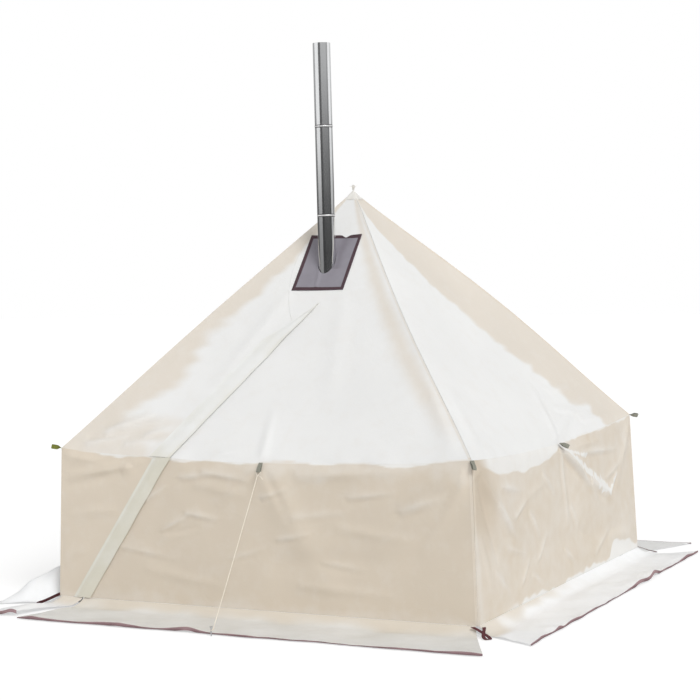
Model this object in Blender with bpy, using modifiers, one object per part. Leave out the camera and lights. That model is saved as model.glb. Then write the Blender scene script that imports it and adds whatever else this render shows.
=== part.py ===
# Hot tent: a square canvas tent with a pyramid roof, a zipped corner door and a wood stove.
# Lengths are in metres, +Z is up, the ground is z = 0 and the front wall faces -Y.
import math

import bmesh
import bpy
from mathutils import Matrix, Vector

for old in list(bpy.data.objects):
    bpy.data.objects.remove(old, do_unlink=True)
for old in list(bpy.data.collections):
    bpy.data.collections.remove(old)

# Tent body
TENT_SIDE = 2.743
WALL_HEIGHT = 0.914
WALL_LIFT = 0.05
ROOF_RISE = 1.546
WALL_FLARE = 0.03
EAVE_SAG = 0.05
PEAK_OPENING = 0.02
CANVAS = 0.003
CORNER_INSET = 0.0018
EAVE_INSET = 0.0009
HIP_INSET = 0.0016
BASE_INSET = 0.0004
LAYER_GAP = 0.0005
HIP_BOW_FRONT_LEFT = Vector((-0.008, 0, 0.012))
HIP_BOW_FRONT_RIGHT = Vector((-0.032, 0, 0))
HIP_BOW_BACK_RIGHT = Vector((0.018, 0.018, 0.029))
HIP_BOW_BACK_LEFT = Vector((0, 0, 0.006))
FOLD_DEPTH = 0.014
FOLD_MARGIN = 0.16

# Stove pipe and the panel that it passes through
PIPE_BACK = 0.39
PIPE_RADIUS = 0.055
PIPE_WALL = 0.0008
PIPE_SLIP = 0.0005
PIPE_PITCH = 0.555
PIPE_MALE = 0.045
PIPE_BEAD = 0.0016
PIPE_BEAD_HEIGHT = 0.008
PIPE_SEAT = 0.0004
PIPE_FIRST_SEAT = 0.686
PIPE_TOP_LENGTH = 0.52
PIPE_SECTIONS = 5
JACK_WIDTH = 0.36
JACK_LENGTH = 0.44
JACK_CLOTH = 0.003
JACK_LAP = 0.035
JACK_CLEARANCE = 0.006
BINDING_WIDTH = 0.022
BINDING = 0.0015

# Corner door: the storm flap over its zip, and the zip
FLAP_TIP_X = 0.049
FLAP_TIP_SLOPE = 1.169
FLAP_EAVE_X = -0.58
FLAP_BASE_X = -1.17
FLAP_ROOF_WIDTH = 0.15
FLAP_WALL_WIDTH = 0.125
FLAP_POINT = 0.28
FLAP_CLOTH = 0.002
FLAP_STAND = 0.012
ZIP_INSET = 0.052
ZIP_TAPE = 0.012
ZIP_CLOTH = 0.0012
ZIP_SPLIT = 0.0006
ZIP_SHORT = 0.16
ROOF_SLIT = 0.004
DOOR_EDGE = 0.001
SLIDER_LENGTH = 0.016
SLIDER_WIDTH = 0.008
SLIDER_HEIGHT = 0.003
SLIDER_START = 0.035
PULL_LENGTH = 0.03
PULL_THICKNESS = 0.0012

# Sod cloth that lies on the ground round the walls
SOD_END_REACH = 0.50
SOD_SIDE_REACH = 0.38
SOD_CLOTH = 0.0025
SOD_SEAM_DROP = 0.0017
SOD_SEAM_OUT = 0.0015
SOD_START = -0.001
SOD_FALL = 0.12
SOD_CORNER_GAP = 0.015
SOD_MITRE_SHARE = 0.5
SOD_SLIT = 0.01
SOD_SLIT_LEAN_SHARE = 0.3
SOD_WAVE = 0.006
DOOR_SOD_LIFT = 0.0065

# Webbing loops
WEBBING = 0.0015
EAVE_LOOP_LENGTH = 0.062
EAVE_LOOP_HEIGHT = 0.009
EAVE_LOOP_WIDTH = 0.025
EAVE_LOOP_EYE = 0.0008
EAVE_LOOP_OUT = 0.0034
CORNER_LOOP_OUT = 0.0018
DOOR_LOOP_OUT = 0.0006
DOOR_LOOP_RISE = 0.0012
MID_LOOP_SHIFT_FRONT = 0.04
STAKE_STRAP_WIDTH = 0.022
STAKE_STRAP_LENGTH = 0.15
STAKE_STRAP = 0.0025
STAKE_STRAP_START = -0.001
STAKE_STRAP_FALL = 0.085
STAKE_EYE_WIDTH = 0.008
STAKE_EYE_LENGTH = 0.06
STAKE_EYE_END = 0.012
STAKE_SEAT_SHARE = 0.85
PEAK_CAP = 0.0016
PEAK_CAP_HALF = 0.05
PEAK_LOOP_HEIGHT = 0.034

# Guy line and its peg
GUY_RADIUS = 0.0018
GUY_KNOT = 0.0062
GUY_KNOT_PLACE = 0.022
GUY_PAIR_SHARE = 1.3
GUY_SPREAD_SHARES = (0.55, 0.6)
PEG_OUT = 0.52
PEG_RADIUS = 0.004
PEG_HEIGHT = 0.055
PEG_HEAD_RADIUS = 0.009
PEG_HEAD = 0.004
PEG_TIE_HEIGHT = 0.034

# Tube frame inside the canvas
TUBE_RADIUS = 0.0125
TUBE_WALL = 0.0012
SPIGOT_RADIUS = 0.0104
SPIGOT_LENGTH = 0.05
LEG_INSET = 0.062
KNEE_DROP = 0.034
KNEE_ARM = 0.06
BUTT_GAP = 0.0004
FOOT_RADIUS = 0.024
FOOT_HEIGHT = 0.005
HUB_RADIUS = 0.034
HUB_HEIGHT = 0.03
HUB_PIN_RADIUS = 0.006

# Stove
STOVE_WIDTH = 0.26
STOVE_LENGTH = 0.46
STOVE_HEIGHT = 0.27
STOVE_LEGS = 0.29
STOVE_SHEET = 0.003
STOVE_REAR = 0.095
STOVE_LEG_SIDE = 0.014
STOVE_EDGE = 0.006
STOVE_MOUTH_WIDTH = 0.18
STOVE_MOUTH_HEIGHT = 0.16
STOVE_DOOR_LAP = 0.014
STOVE_DOOR = 0.004
STOVE_DOOR_GAP = 0.0005
HINGE_RADIUS = 0.0042
AIR_RADIUS = 0.03
AIR_SHEET = 0.0025
AIR_HOLE = 0.007
AIR_HOLE_PLACE = 0.018
AIR_DROP = 0.035
AIR_KNOB_RADIUS = 0.006
AIR_KNOB = 0.012
LATCH_RISE = 0.035
LATCH_BAR = 0.085
LATCH_BAR_SIDE = 0.009
LATCH_PIVOT_RADIUS = 0.008
LATCH_STAND = 0.006
DAMPER_HEIGHT = 0.115
DAMPER_RADIUS = 0.049
DAMPER_SHEET = 0.0016
DAMPER_ROD = 0.003
DAMPER_HOLE_SLIP = 0.0006
DAMPER_HANDLE = 0.05
DAMPER_END = 0.012
DAMPER_HANDLE_SHARE = 1.6

# Rounding: points closer than these are one point
WELD_NEAR = 0.00001
TURN_NEAR = 0.0001

# Places and angles that follow from the dimensions
HALF = TENT_SIDE / 2
BASE_HALF = HALF + WALL_FLARE
EAVE_Z = WALL_LIFT + WALL_HEIGHT
PITCH = math.atan2(ROOF_RISE, HALF)
SLANT = math.hypot(ROOF_RISE, HALF)
LEAN = math.atan2(WALL_FLARE, WALL_HEIGHT)
ROOF_OUT = Vector((0, -math.sin(PITCH), math.cos(PITCH)))
WALL_OUT = Vector((0, -math.cos(LEAN), math.sin(LEAN)))
TOP_HALF = PEAK_OPENING / 2
TOP_Z = EAVE_Z + ROOF_RISE * (1 - TOP_HALF / HALF)
EAVE_TURN = math.tan((math.pi / 2 - PITCH) / 2)
HIP_BOWS = (HIP_BOW_FRONT_LEFT, HIP_BOW_FRONT_RIGHT, HIP_BOW_BACK_RIGHT, HIP_BOW_BACK_LEFT)
FRONT, RIGHT, BACK, LEFT = range(4)
TIP_UP = FLAP_TIP_SLOPE / SLANT

tent = bpy.data.collections.new("hot_tent")
cutters = bpy.data.collections.new("cutters")
bpy.context.scene.collection.children.link(tent)
bpy.context.scene.collection.children.link(cutters)


# Materials
def material(name, colour, roughness, metallic=0):
    made = bpy.data.materials.new(name)
    made.use_nodes = True
    shader = made.node_tree.nodes["Principled BSDF"]
    shader.inputs["Base Color"].default_value = (*colour, 1)
    shader.inputs["Roughness"].default_value = roughness
    shader.inputs["Metallic"].default_value = metallic
    made.diffuse_color = (*colour, 1)
    return made


ROOF_CANVAS = material("roof_canvas", (0.80, 0.78, 0.74), 0.9)
WALL_CANVAS = material("wall_canvas", (0.66, 0.58, 0.47), 0.9)
DOOR_CANVAS = material("door_canvas", (0.62, 0.57, 0.50), 0.9)
FLAP_CANVAS = material("flap_canvas", (0.64, 0.63, 0.54), 0.9)
SOD_FABRIC = material("sod_fabric", (0.68, 0.68, 0.65), 0.8)
JACK_FABRIC = material("jack_fabric", (0.30, 0.30, 0.36), 0.75)
BINDING_TAPE = material("binding_tape", (0.07, 0.042, 0.052), 0.85)
ZIP_FABRIC = material("zip_fabric", (0.09, 0.07, 0.06), 0.7)
BLACK_METAL = material("black_metal", (0.03, 0.03, 0.032), 0.45, 0.6)
GREY_WEBBING = material("grey_webbing", (0.25, 0.25, 0.21), 0.85)
GREEN_WEBBING = material("green_webbing", (0.19, 0.21, 0.04), 0.85)
BROWN_WEBBING = material("brown_webbing", (0.10, 0.03, 0.036), 0.85)
CREAM_CORD = material("cream_cord", (0.74, 0.68, 0.58), 0.8)
FRAME_STEEL = material("frame_steel", (0.55, 0.56, 0.57), 0.35, 1)
PIPE_STEEL = material("pipe_steel", (0.60, 0.60, 0.61), 0.18, 1)
STOVE_STEEL = material("stove_steel", (0.045, 0.045, 0.048), 0.55, 0.7)


# Building helpers
def file_in(obj, collection):
    for held in list(obj.users_collection):
        held.objects.unlink(obj)
    collection.objects.link(obj)


def finish(obj, name, look):
    obj.name = name
    obj.data.name = name
    file_in(obj, tent)
    obj.data.materials.clear()
    obj.data.materials.append(look)
    return obj


def smooth(obj, angle=math.radians(35)):
    obj.data.shade_smooth()
    obj.data.set_sharp_from_angle(angle=angle)


def ramp(value, length):
    share = min(max(value / length, 0), 1)
    return share * share * (3 - 2 * share)


def blend(low, high, share):
    return low + (high - low) * share


def apply_modifiers(obj):
    graph = bpy.context.evaluated_depsgraph_get()
    made = bpy.data.meshes.new_from_object(obj.evaluated_get(graph))
    obj.modifiers.clear()
    obj.data = made


def set_origin(obj, point):
    obj.data.transform(Matrix.Translation(-Vector(point)))
    obj.location = point


def grid(columns, rows, place):
    """A rectangular net of faces, each corner put where place(column, row) says."""
    bpy.ops.mesh.primitive_grid_add(x_subdivisions=columns, y_subdivisions=rows, size=2)
    obj = bpy.context.object
    for vertex in obj.data.vertices:
        column = round((vertex.co.x + 1) / 2 * columns)
        row = round((vertex.co.y + 1) / 2 * rows)
        vertex.co = place(column, row)
    return obj


def sheet(name, columns, rows, place, thickness, look, side=FRONT):
    """Cloth: the net given a thickness, turned to its side of the tent."""
    obj = grid(columns, rows, place)
    obj.data.transform(Matrix.Rotation(side * math.pi / 2, 4, "Z"))
    solid = obj.modifiers.new("Thickness", "SOLIDIFY")
    solid.thickness = thickness
    solid.offset = 0
    finish(obj, name, look)
    apply_modifiers(obj)
    smooth(obj, math.radians(50))
    return obj


def box(size, centre):
    bpy.ops.mesh.primitive_cube_add(size=1)
    obj = bpy.context.object
    obj.data.transform(Matrix.Diagonal((*size, 1)))
    obj.data.transform(Matrix.Translation(centre))
    return obj


def rod(radius, start, end, sides):
    """A solid round bar between two points."""
    start, end = Vector(start), Vector(end)
    bpy.ops.mesh.primitive_cylinder_add(radius=radius, depth=(end - start).length, vertices=sides)
    obj = bpy.context.object
    turn = (end - start).to_track_quat("Z", "Y").to_matrix().to_4x4()
    obj.data.transform(Matrix.Translation((start + end) / 2) @ turn)
    return obj


def tube(name, start, end, sides, look):
    """A hollow round bar, open at both ends."""
    start, end = Vector(start), Vector(end)
    length = (end - start).length
    bpy.ops.mesh.primitive_cylinder_add(
        radius=TUBE_RADIUS, depth=length, vertices=sides, end_fill_type="NOTHING"
    )
    obj = bpy.context.object
    turn = (end - start).to_track_quat("Z", "Y").to_matrix().to_4x4()
    obj.data.transform(Matrix.Translation((start + end) / 2) @ turn)
    solid = obj.modifiers.new("Wall", "SOLIDIFY")
    solid.thickness = TUBE_WALL
    solid.offset = -1
    finish(obj, name, look)
    apply_modifiers(obj)
    return obj


def as_cutter(obj, name):
    obj.name = name
    file_in(obj, cutters)
    obj.hide_render = True
    obj.display_type = "WIRE"
    return obj


def combine(obj, others, operation):
    for other in others:
        step = obj.modifiers.new(operation.title(), "BOOLEAN")
        step.operation = operation
        step.solver = "EXACT"
        step.object = as_cutter(other, other.name)
        apply_modifiers(obj)
        bpy.data.objects.remove(other, do_unlink=True)
    return obj


def cut(obj, *others):
    return combine(obj, others, "DIFFERENCE")


def join(obj, *others):
    return combine(obj, others, "UNION")


# Surfaces of the canvas, each written for the front side and turned to the others
def eave_point(x):
    sag = EAVE_SAG * (1 - (x / HALF) ** 2)
    return Vector((x, -HALF - WALL_FLARE * sag / WALL_HEIGHT, EAVE_Z - sag))


def roof_half(up):
    return blend(HALF, TOP_HALF, up)


def roof_point(side, x, up, off=0):
    """A point of a roof panel: up runs from 0 at the eave to 1 at the top."""
    across = x / roof_half(up)
    high = Vector((across * TOP_HALF, -TOP_HALF, TOP_Z))
    point = eave_point(across * HALF).lerp(high, up)
    turn = Matrix.Rotation(-side * math.pi / 2, 3, "Z")
    bow = turn @ HIP_BOWS[(side + (across > 0)) % 4]
    return point + bow * (4 * up * (1 - up)) ** 2 * across ** 4 + off * ROOF_OUT


def wall_top(x):
    return WALL_HEIGHT - EAVE_SAG * (1 - (x / HALF) ** 2)


def wall_half(height):
    return BASE_HALF - WALL_FLARE * height / WALL_HEIGHT


def line_x(base, eave, height):
    """Where a straight seam from the base to the eave is at this height."""
    return blend(base, eave, height / wall_top(eave))


def free_x(height):
    return line_x(FLAP_BASE_X, FLAP_EAVE_X, height)


def zip_x(height):
    return free_x(height) - ZIP_INSET


def roof_free_x(up):
    return blend(FLAP_EAVE_X, FLAP_TIP_X, up / TIP_UP)


# Main folds of the walls. Each row gives both ends, half width and depth as shares:
# x of half the side, height of the wall, width of the wall's height, depth of FOLD_DEPTH.
FRONT_FOLD_SHARES = (
    (0.02, 0.95, 0.36, 0.15, 0.10, 0.8),
    (0.98, 0.95, 0.52, 0.30, 0.12, 0.7),
    (0.10, 0.30, 0.75, 0.38, 0.08, -0.5),
)
RIGHT_FOLD_SHARES = (
    (0.02, 0.95, 0.55, 0.42, 0.11, 1.0),
    (0.02, 0.95, 0.20, 0.20, 0.09, -0.6),
    (-0.98, 0.95, -0.45, 0.35, 0.11, 0.8),
    (-0.20, 0.30, 0.70, 0.22, 0.08, -0.5),
)
BACK_FOLD_SHARES = ((0.0, 0.95, 0.45, 0.20, 0.16, 0.8),)
LEFT_FOLD_SHARES = ((0.0, 0.95, -0.45, 0.20, 0.16, 0.8),)
FOLD_SHARES = (FRONT_FOLD_SHARES, RIGHT_FOLD_SHARES, BACK_FOLD_SHARES, LEFT_FOLD_SHARES)


def fold_height(side, x, height):
    """How far the cloth stands out of the flat wall here. It is flat at each seam."""
    free = ramp(height, FOLD_MARGIN) * ramp(wall_top(x) - height, FOLD_MARGIN)
    free *= ramp(wall_half(height) - abs(x), FOLD_MARGIN)
    if side == FRONT:
        free *= ramp(x - free_x(height), FOLD_MARGIN)
    total = 0
    for x_start, up_start, x_end, up_end, width, depth in FOLD_SHARES[side]:
        start = Vector((x_start * HALF, up_start * WALL_HEIGHT))
        along = Vector((x_end * HALF, up_end * WALL_HEIGHT)) - start
        here = Vector((x, height)) - start
        share = min(max(here.dot(along) / along.length_squared, 0), 1)
        away = (here - along * share).length / (width * WALL_HEIGHT)
        total += depth * FOLD_DEPTH * math.exp(-away * away)
    return total * free


def wall_point(side, x, height, off=0):
    y = -BASE_HALF + WALL_FLARE * height / WALL_HEIGHT
    out = off + fold_height(side, x, height)
    return Vector((x, y, WALL_LIFT + height)) + out * WALL_OUT


def wall_place(side, left, right, across, up, off=0, over=0):
    """A point of a wall cloth between two seams: across and up run from 0 to 1."""
    height = up * WALL_HEIGHT
    for _ in range(5):
        x = blend(left(height), right(height), across)
        height = up * (wall_top(x) + over)
    return wall_point(side, x, height, off)


# Roof panels
def roof_panel(name, side, columns, rows):
    def place(column, row):
        up = blend(EAVE_INSET / SLANT, 1, row / rows)
        half = roof_half(up) - HIP_INSET
        return roof_point(side, blend(-half, half, column / columns), up)

    return sheet(name, columns, rows, place, CANVAS, ROOF_CANVAS, side)


roof_front = roof_panel("roof_front", FRONT, 12, 10)
roof_panel("roof_right", RIGHT, 12, 10)
roof_panel("roof_back", BACK, 10, 6)
roof_panel("roof_left", LEFT, 10, 6)

# Window under the stove panel, and the slit along the roof part of the door zip
PIPE_UP = (HALF - PIPE_BACK) / (HALF - TOP_HALF)
ROOF_TURN = Matrix.Rotation(PITCH, 4, "X")
JACK_CENTRE = roof_point(FRONT, 0, PIPE_UP)
JACK_FRAME = Matrix.Translation(JACK_CENTRE) @ ROOF_TURN


def roof_box(width, length, thickness):
    obj = box((width, length, thickness), (0, 0, 0))
    obj.data.transform(JACK_FRAME)
    return obj


cut(roof_front, roof_box(JACK_WIDTH - 2 * JACK_LAP, JACK_LENGTH - 2 * JACK_LAP, JACK_LAP))

ZIP_TOP_UP = TIP_UP - ZIP_SHORT / SLANT
SLIT_LOW = roof_point(FRONT, roof_free_x(0) - ZIP_INSET, 0)
SLIT_HIGH = roof_point(FRONT, roof_free_x(ZIP_TOP_UP) - ZIP_INSET, ZIP_TOP_UP)
SLIT_ALONG = SLIT_LOW - SLIT_HIGH
slit_x = SLIT_ALONG.normalized()
slit_y = ROOF_OUT.cross(slit_x).normalized()
slit_z = slit_x.cross(slit_y)
slit = box((SLIT_ALONG.length, ROOF_SLIT, JACK_LAP * 2), (SLIT_ALONG.length / 2 + JACK_LAP, 0, 0))
SLIT_AXES = Matrix((slit_x, slit_y, slit_z)).transposed().to_4x4()
slit.data.transform(Matrix.Translation(SLIT_HIGH) @ SLIT_AXES)
cut(roof_front, slit)


# Walls
def wall_panel(name, side, left, right, columns, rows, look):
    def place(column, row):
        up = row / rows
        low = BASE_INSET * (1 - up)
        point = wall_place(side, left, right, column / columns, up, over=-EAVE_INSET)
        return point + Vector((0, 0, low))

    return sheet(name, columns, rows, place, CANVAS, look, side)


def right_seam(height):
    return wall_half(height) - CORNER_INSET


def left_seam(height):
    return -right_seam(height)


wall_panel("wall_front", FRONT, lambda h: zip_x(h) + DOOR_EDGE, right_seam, 16, 7, WALL_CANVAS)
wall_panel("wall_right", RIGHT, left_seam, right_seam, 20, 7, WALL_CANVAS)
wall_panel("wall_back", BACK, left_seam, right_seam, 12, 4, WALL_CANVAS)
wall_panel("wall_left", LEFT, left_seam, right_seam, 12, 4, WALL_CANVAS)
door_seam = (-BASE_HALF, -BASE_HALF, WALL_LIFT)
door = wall_panel("door_panel", FRONT, left_seam, lambda h: zip_x(h) - DOOR_EDGE, 6, 5, DOOR_CANVAS)
set_origin(door, door_seam)

# Stove panel on the roof and the dark tape round its edge
JACK_OFF = CANVAS / 2 + LAYER_GAP + JACK_CLOTH / 2
BINDING_OFF = JACK_OFF + JACK_CLOTH / 2 + LAYER_GAP + BINDING / 2


def jack_sheet(name, width, length, off, thickness, look):
    def place(column, row):
        up = PIPE_UP + length * (row / 6 - 1 / 2) / SLANT
        return roof_point(FRONT, width * (column / 6 - 1 / 2), up, off)

    return sheet(name, 6, 6, place, thickness, look)


pipe_foot = Vector((0, -PIPE_BACK, 0))
jack = jack_sheet("stove_jack", JACK_WIDTH, JACK_LENGTH, JACK_OFF, JACK_CLOTH, JACK_FABRIC)
hole_radius = PIPE_RADIUS + JACK_CLEARANCE
cut(jack, rod(hole_radius, pipe_foot, pipe_foot + Vector((0, 0, EAVE_Z + ROOF_RISE)), 28))
binding = jack_sheet("jack_binding", JACK_WIDTH, JACK_LENGTH, BINDING_OFF, BINDING, BINDING_TAPE)
inner_width = JACK_WIDTH - 2 * BINDING_WIDTH
inner_length = JACK_LENGTH - 2 * BINDING_WIDTH
cut(binding, roof_box(inner_width, inner_length, JACK_LAP * 2))

# Storm flap: sewn on the door side of the zip, its other edge free
FLAP_ACROSS_SHARES = (0, 0.12, 0.45, 0.72, 1)
FLAP_RISE_SHARES = (0, 0, 0.75, 0.9, 1)
FLAP_SEWN = CANVAS / 2 + LAYER_GAP + FLAP_CLOTH / 2


def flap_off(column):
    return blend(FLAP_SEWN, FLAP_STAND, FLAP_RISE_SHARES[column])


def flap_roof_place(column, row):
    off = flap_off(column)
    low = (EAVE_INSET - off * EAVE_TURN) / SLANT
    up = blend(low, TIP_UP, row / 12)
    width = FLAP_ROOF_WIDTH * min(1, ((TIP_UP - up) * SLANT + FLAP_CLOTH) / FLAP_POINT)
    x = roof_free_x(up) - width * (1 - FLAP_ACROSS_SHARES[column])
    return roof_point(FRONT, x, up, off)


sheet("storm_flap_roof", 4, 12, flap_roof_place, FLAP_CLOTH, FLAP_CANVAS)


def flap_wall_place(column, row):
    off = flap_off(column)
    over = off * EAVE_TURN - EAVE_INSET
    width = FLAP_WALL_WIDTH * (1 - FLAP_ACROSS_SHARES[column])
    return wall_place(
        FRONT, lambda h: free_x(h) - width, free_x, 0, row / 8, off, over
    )


storm_flap_wall = sheet("storm_flap_wall", 4, 8, flap_wall_place, FLAP_CLOTH, FLAP_CANVAS)
set_origin(storm_flap_wall, door_seam)

# Zip: one strip over the roof slit, and one on each side of the wall opening
ZIP_OFF = CANVAS / 2 + LAYER_GAP + ZIP_CLOTH / 2


def zip_roof_place(column, row):
    up = blend(EAVE_INSET / SLANT, ZIP_TOP_UP, row / 10)
    x = roof_free_x(up) - ZIP_INSET + ZIP_TAPE * (column - 1)
    return roof_point(FRONT, x, up, ZIP_OFF)


sheet("zip_roof", 2, 10, zip_roof_place, ZIP_CLOTH, ZIP_FABRIC)


def zip_strip(name, near, far):
    def place(column, row):
        def left(height):
            return zip_x(height) + (near, far)[column]

        return wall_place(FRONT, left, left, 0, row / 4, ZIP_OFF, -EAVE_INSET)

    return sheet(name, 1, 4, place, ZIP_CLOTH, ZIP_FABRIC)


zip_strip("zip_wall", ZIP_SPLIT / 2, ZIP_TAPE)
set_origin(zip_strip("zip_door", -ZIP_TAPE, -ZIP_SPLIT / 2), door_seam)

# Zip slider: it rides on the fixed side of the teeth, under the flap
slider_off = ZIP_OFF + ZIP_CLOTH / 2 + LAYER_GAP
zip_low = wall_point(FRONT, zip_x(SLIDER_START), SLIDER_START)
zip_high = wall_point(FRONT, zip_x(wall_top(zip_x(WALL_HEIGHT))), wall_top(zip_x(WALL_HEIGHT)))
zip_along = (zip_high - zip_low).normalized()
zip_across = WALL_OUT.cross(zip_along).normalized()
SLIDER_AXES = Matrix((zip_along, zip_across, WALL_OUT)).transposed().to_4x4()
side_step = -SLIDER_WIDTH / 2 - ZIP_SPLIT
slider = box((SLIDER_LENGTH, SLIDER_WIDTH, SLIDER_HEIGHT), (0, side_step, SLIDER_HEIGHT / 2))
pull_place = (PULL_LENGTH / 2, side_step, SLIDER_HEIGHT - PULL_THICKNESS / 4)
join(slider, box((PULL_LENGTH, SLIDER_WIDTH / 2, PULL_THICKNESS), pull_place))
slider.data.transform(SLIDER_AXES)
slider.location = zip_low + slider_off * WALL_OUT
finish(slider, "zip_slider", BLACK_METAL)

# Sod cloth
SOD_ROW_SHARES = (0, 0.2, 0.45, 0.7, 1)
SOD_OUT_ROWS = 3
SEAM_Z = WALL_LIFT - SOD_SEAM_DROP
SOD_REACHES = (SOD_END_REACH, SOD_SIDE_REACH, SOD_END_REACH, SOD_SIDE_REACH)
WAVE_TURNS = (5, 4.2, 3.5, 3.3)
WAVE_CLEAR_SHARES = (-0.62, -1.2, -1.2, -1.2)


def sod_distance(row, reach):
    """How far out this row is: close rows on the fall, wider ones on the ground."""
    if row < len(SOD_ROW_SHARES):
        return blend(SOD_START, SOD_FALL, SOD_ROW_SHARES[row])
    share = (row - len(SOD_ROW_SHARES) + 1) / SOD_OUT_ROWS
    return blend(SOD_FALL, reach, share)


def sod_height(out, floor, seam=SEAM_Z, run=SOD_FALL):
    fall = max(0, 1 - out / run)
    return blend(floor, seam, fall * fall)


def sod_end(out):
    return BASE_HALF - SOD_CORNER_GAP + SOD_MITRE_SHARE * out


def sod_cloth(name, side, left, right, columns, lift=0, wave=SOD_WAVE):
    reach = SOD_REACHES[side]

    def place(column, row):
        out = sod_distance(row, reach)
        share = column / columns
        x = blend(left(out), right(out), share)
        z = sod_height(out, SOD_CLOTH / 2 + lift)
        swell = (1 - math.cos(2 * math.pi * WAVE_TURNS[side] * share)) / 2
        keep = ramp(x - WAVE_CLEAR_SHARES[side] * HALF, HALF / 4)
        if side == LEFT:
            keep = ramp(HALF / 2 - x, HALF / 4)
        z += wave * swell * keep * ramp(out - SOD_FALL / 2, SOD_FALL) * (1 - out / reach / 2)
        return Vector((x, -BASE_HALF - SOD_SEAM_OUT - out, z))

    rows = len(SOD_ROW_SHARES) - 1 + SOD_OUT_ROWS
    return sheet(name, columns, rows, place, SOD_CLOTH, SOD_FABRIC, side)


def slit_edge(out, part):
    return zip_x(0) + part * SOD_SLIT / 2 - SOD_SLIT_LEAN_SHARE * out


sod_cloth("sod_front", FRONT, lambda d: slit_edge(d, 1), sod_end, 18)
sod_right = sod_cloth("sod_right", RIGHT, lambda d: -sod_end(d), sod_end, 18)
sod_back = sod_cloth("sod_back", BACK, lambda d: -sod_end(d), sod_end, 12)
sod_left = sod_cloth("sod_left", LEFT, lambda d: -sod_end(d), sod_end, 12)
sod_door = sod_cloth(
    "sod_door", FRONT, lambda d: -sod_end(d), lambda d: slit_edge(d, -1), 5, DOOR_SOD_LIFT, 0
)
set_origin(sod_door, door_seam)
sod_seam = BASE_HALF + SOD_SEAM_OUT
set_origin(sod_right, (sod_seam, 0, SEAM_Z))
set_origin(sod_back, (0, sod_seam, SEAM_Z))
set_origin(sod_left, (-sod_seam, 0, SEAM_Z))


# Webbing loops along the eave
def tape_loop(name, root, out, across, length, height, width, eye, look):
    """A closed loop of tape: narrow at its root and round at its far end."""
    bpy.ops.mesh.primitive_cylinder_add(
        radius=1, depth=width, vertices=14, end_fill_type="NOTHING"
    )
    obj = bpy.context.object
    for vertex in obj.data.vertices:
        turn = math.atan2(vertex.co.y, vertex.co.x)
        swell = eye + (height - eye) * math.sin(turn / 2) ** 2
        vertex.co = (length / 2 * (1 - math.cos(turn)), -vertex.co.z, swell * math.sin(turn))
    obj.data.flip_normals()
    solid = obj.modifiers.new("Thickness", "SOLIDIFY")
    solid.thickness = WEBBING
    solid.offset = 1
    solid.use_even_offset = True
    finish(obj, name, look)
    apply_modifiers(obj)
    out, across = Vector(out).normalized(), Vector(across).normalized()
    axes = Matrix((out, across, out.cross(across))).transposed().to_4x4()
    obj.data.transform(axes)
    obj.location = root
    smooth(obj)
    return obj


def turned(side, vector):
    return Matrix.Rotation(side * math.pi / 2, 3, "Z") @ Vector(vector)


def eave_loop(name, side, x, droop, look=GREY_WEBBING):
    out = Vector((0, -math.cos(droop), -math.sin(droop)))
    root = eave_point(x) + Vector((0, -EAVE_LOOP_OUT, 0))
    tape_loop(
        name, turned(side, root), turned(side, out), turned(side, (1, 0, 0)),
        EAVE_LOOP_LENGTH, EAVE_LOOP_HEIGHT, EAVE_LOOP_WIDTH, EAVE_LOOP_EYE, look,
    )
    return turned(side, root), turned(side, out)


def corner_loop(name, side, droop, look=GREY_WEBBING, out_by=CORNER_LOOP_OUT, rise=0):
    flat = Vector((-1, -1, 0)).normalized()
    out = flat * math.cos(droop) - Vector((0, 0, math.sin(droop)))
    root = Vector((-HALF, -HALF, EAVE_Z + rise)) + flat * out_by
    across = Vector((1, -1, 0))
    tape_loop(
        name, turned(side, root), turned(side, out), turned(side, across),
        EAVE_LOOP_LENGTH, EAVE_LOOP_HEIGHT, EAVE_LOOP_WIDTH, EAVE_LOOP_EYE, look,
    )


peg_y = -BASE_HALF - PEG_OUT
guy_drop = math.atan2(EAVE_Z - EAVE_SAG - PEG_TIE_HEIGHT, PEG_OUT + WALL_FLARE)
loop_root, loop_out = eave_loop("eave_loop_front", FRONT, MID_LOOP_SHIFT_FRONT, guy_drop)
eave_loop("eave_loop_right", RIGHT, 0, math.radians(20))
eave_loop("eave_loop_back", BACK, 0, math.radians(30))
eave_loop("eave_loop_left", LEFT, 0, math.radians(30))
corner_loop(
    "eave_loop_front_left", FRONT, math.radians(-12), GREEN_WEBBING, DOOR_LOOP_OUT, DOOR_LOOP_RISE
)
corner_loop("eave_loop_front_right", RIGHT, math.radians(50))
corner_loop("eave_loop_back_right", BACK, math.radians(10))
corner_loop("eave_loop_back_left", LEFT, math.radians(30))


# Stake straps at the foot of each corner, with an eye for a stake
def stake_strap(name, side):
    def place(column, row):
        out = blend(STAKE_STRAP_START, STAKE_STRAP_LENGTH, row / 8)
        across = STAKE_STRAP_WIDTH * (column - 1 / 2)
        seam = WALL_LIFT + BASE_INSET - LAYER_GAP / 2 - STAKE_STRAP * STAKE_SEAT_SHARE
        return Vector((across, -out, sod_height(out, STAKE_STRAP / 2, seam, STAKE_STRAP_FALL)))

    obj = sheet(name, 1, 8, place, STAKE_STRAP, BROWN_WEBBING)
    eye_centre = (0, STAKE_EYE_END + STAKE_EYE_LENGTH / 2 - STAKE_STRAP_LENGTH, 0)
    cut(obj, box((STAKE_EYE_WIDTH, STAKE_EYE_LENGTH, SOD_FALL), eye_centre))
    obj.data.transform(Matrix.Rotation((side - 1 / 2) * math.pi / 2, 4, "Z"))
    obj.location = turned(side, (-BASE_HALF, -BASE_HALF, 0))
    return obj


stake_strap("stake_loop_front_left", FRONT)
stake_strap("stake_loop_front_right", RIGHT)
stake_strap("stake_loop_back_right", BACK)
stake_strap("stake_loop_back_left", LEFT)

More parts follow.
